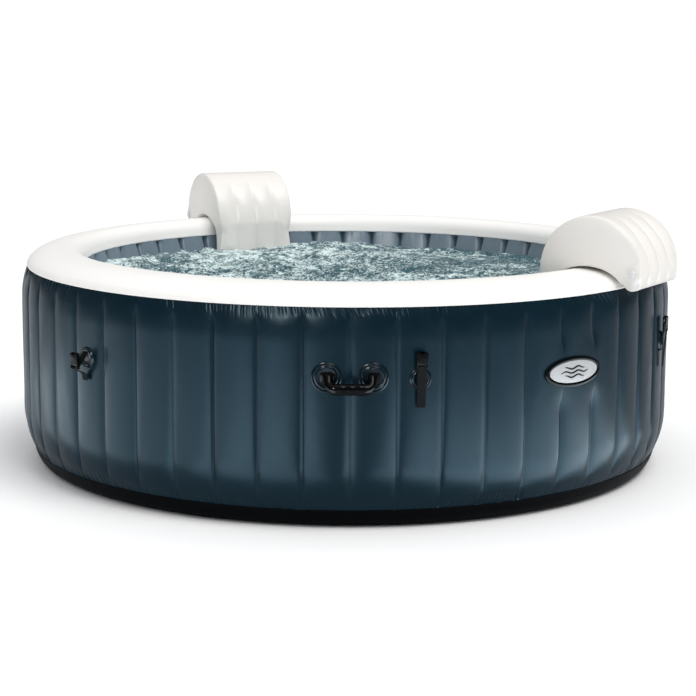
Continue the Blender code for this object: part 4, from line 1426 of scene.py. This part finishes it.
def flatten_seat(mesh, centre, way):
    """Makes the end of a pad flat round its valve; way is 1 at its right end and -1 at its left."""
    seat = way * centre.x - 0.0004
    for vertex in mesh.vertices:
        away = math.hypot(vertex.co.y - centre.y, vertex.co.z - centre.z)
        if away < 0.040 and vertex.co.x * way > HEADREST_HALF - 0.03:
            share = 1 - float(smooth_step(away, 0.014, 0.036))
            vertex.co.x += (way * seat - vertex.co.x) * share


def make_headrest(side, mesh, clear):
    """A cushion, the neck of its air valve and the cap that hinges on it."""
    spot = wall_frame(where(f"headrest_{side}_pad")[0], 0.0, 0.0)
    lid_pivot = spot.inverted() @ pivot_of(f"headrest_{side}_cap_lift")
    way = math.copysign(1.0, lid_pivot.x)
    centre = Vector((way * HEADREST_HALF, lid_pivot.y - HINGE, lid_pivot.z))
    own = mesh.copy()
    flatten_seat(own, centre, way)
    pad = linked(f"headrest_{side}_cushion", own, spot)
    belongs(pad, f"headrest_{side}", "headrest_vinyl", f"headrest_{side}_pad")
    outward = spot @ Matrix.Translation(centre) @ Matrix.Rotation(way * math.pi / 2, 4, "Y")
    stem = rounded([(0, -0.004), (0.0066, -0.004), (0.0066, 0.0002), (0.0125, 0.0002),
                    (0.0125, 0.0010), (0.0085, 0.0021), (0, 0.0021)], 0.0005)
    neck = from_shape(f"headrest_{side}_valve_neck", turned(stem, 48), clear)
    neck.matrix_world = outward
    belongs(neck, f"headrest_{side}", "clear_valve_vinyl", f"headrest_{side}_valve")
    button = [(0, 0), (0.0100, 0), (0.0100, 0.0020), (0.0060, 0.0026), (0, 0.0026)]
    lid = turned(rounded(button, 0.0006), 48)
    bmesh.ops.translate(lid, verts=lid.verts, vec=(0, -HINGE, 0))
    tab = hinge_tab(0.0030, 0.0045, 0.0020, 0.0004, 0.0008, 0.0014)
    cap = from_shape(f"headrest_{side}_valve_plug", joined([lid, tab]), clear)
    cap.matrix_world = outward @ Matrix.Translation((0, HINGE, 0.0023))
    belongs(cap, f"headrest_{side}_cap", "clear_valve_vinyl", f"headrest_{side}_valve_cap")


# Water, which shows what the tub is for and is not part of it


def make_water():
    """Rough surface of bubbling water, calmer towards the right."""
    rows, columns = 260, 420
    turn = np.linspace(0, math.tau, columns, endpoint=False)[None, :]
    radius = np.linspace(0.002, WATER_EDGE, rows)[:, None]
    x, y = radius * np.sin(turn), -radius * np.cos(turn)
    calm = smooth_step(x + 0.3 * y, 0.05, 0.55)
    swirl = field(x, y, 0.21, 301) * 0.006 + field(x, y, 0.09, 302) * 0.0060
    pushed = x + 0.02 * field(x, y, 0.05, 306)
    boil = field(pushed, y, 0.034, 303) * 0.0062 + field(x, y, 0.016, 304) * 0.0036
    height = WATER_LEVEL + swirl + boil * (1 - 0.45 * calm) + 0.0016 * field(x, y, 0.008, 305)
    points = np.stack([x, y, height], axis=-1).reshape(-1, 3)
    water = mesh_object("water", points, grid_faces(rows, columns, True), water_paint())


def main():
    make_camera()
    make_studio()
    navy = vinyl_paint("navy_pvc", (0.0010, 0.0112, 0.0198), 0.30, 0.10, specular=0.20,
                       tint=(0.70, 0.90, 1.0))
    white = vinyl_paint("white_pvc", (0.88, 0.865, 0.84), 0.42, 0.02, specular=0.4)
    black = vinyl_paint("black_pvc", (0.0008, 0.0010, 0.0013), 0.42, 0.15, specular=0.05)
    lining = vinyl_paint("lining_pvc", (0.15, 0.205, 0.25), 0.34, 0.10)
    beam = vinyl_paint("beam_pvc", (0.55, 0.56, 0.57), 0.6, 0.05)
    patch = vinyl_paint("navy_patch", (0.0014, 0.0095, 0.0165), 0.20, 0.08, grain=0.00005,
                        specular=0.26)
    cream = vinyl_paint("headrest_vinyl", (0.80, 0.775, 0.735), 0.34, 0.02)
    clear = vinyl_paint("clear_valve_vinyl", (0.74, 0.74, 0.73), 0.28, 0.04, grain=0.00003)
    silver = plastic_paint("badge_silver", (0.44, 0.45, 0.46), 0.30, wear=0.0)
    gloss = plastic_paint("black_gloss_plastic", (0.0010, 0.0011, 0.0014), 0.13, 0.00002,
                          specular=0.14)
    plastic = plastic_paint("black_plastic", (0.0011, 0.0013, 0.0016), 0.18, specular=0.10)
    grey = plastic_paint("grey_plastic", (0.14, 0.15, 0.16), 0.38)
    make_outer_wall(navy)
    make_top_rim(white)
    make_inner_wall(lining)
    make_base(black)
    make_floor(black, lining)
    make_bubble_ring(hole_row_paint("bubble_ring_pvc", (0.10, 0.13, 0.17), 0.42))
    make_beams(beam)
    make_handles(patch, gloss)
    make_straps(patch, webbing_paint(), plastic)
    make_badge(plastic, silver)
    for label in ("air", "drain"):
        make_valve(label, grey, plastic)
    for node in ("air_port", "water_outlet_port", "water_inlet_port"):
        make_port(node, grey)
    for label in ("outlet", "inlet"):
        make_cover(f"water_{label}_cover", grey)
        make_pipe(f"water_{label}_pipe", grey)
    pad = headrest_mesh(cream)
    for side in ("left", "right"):
        make_headrest(side, pad, clear)
    make_water()


main()
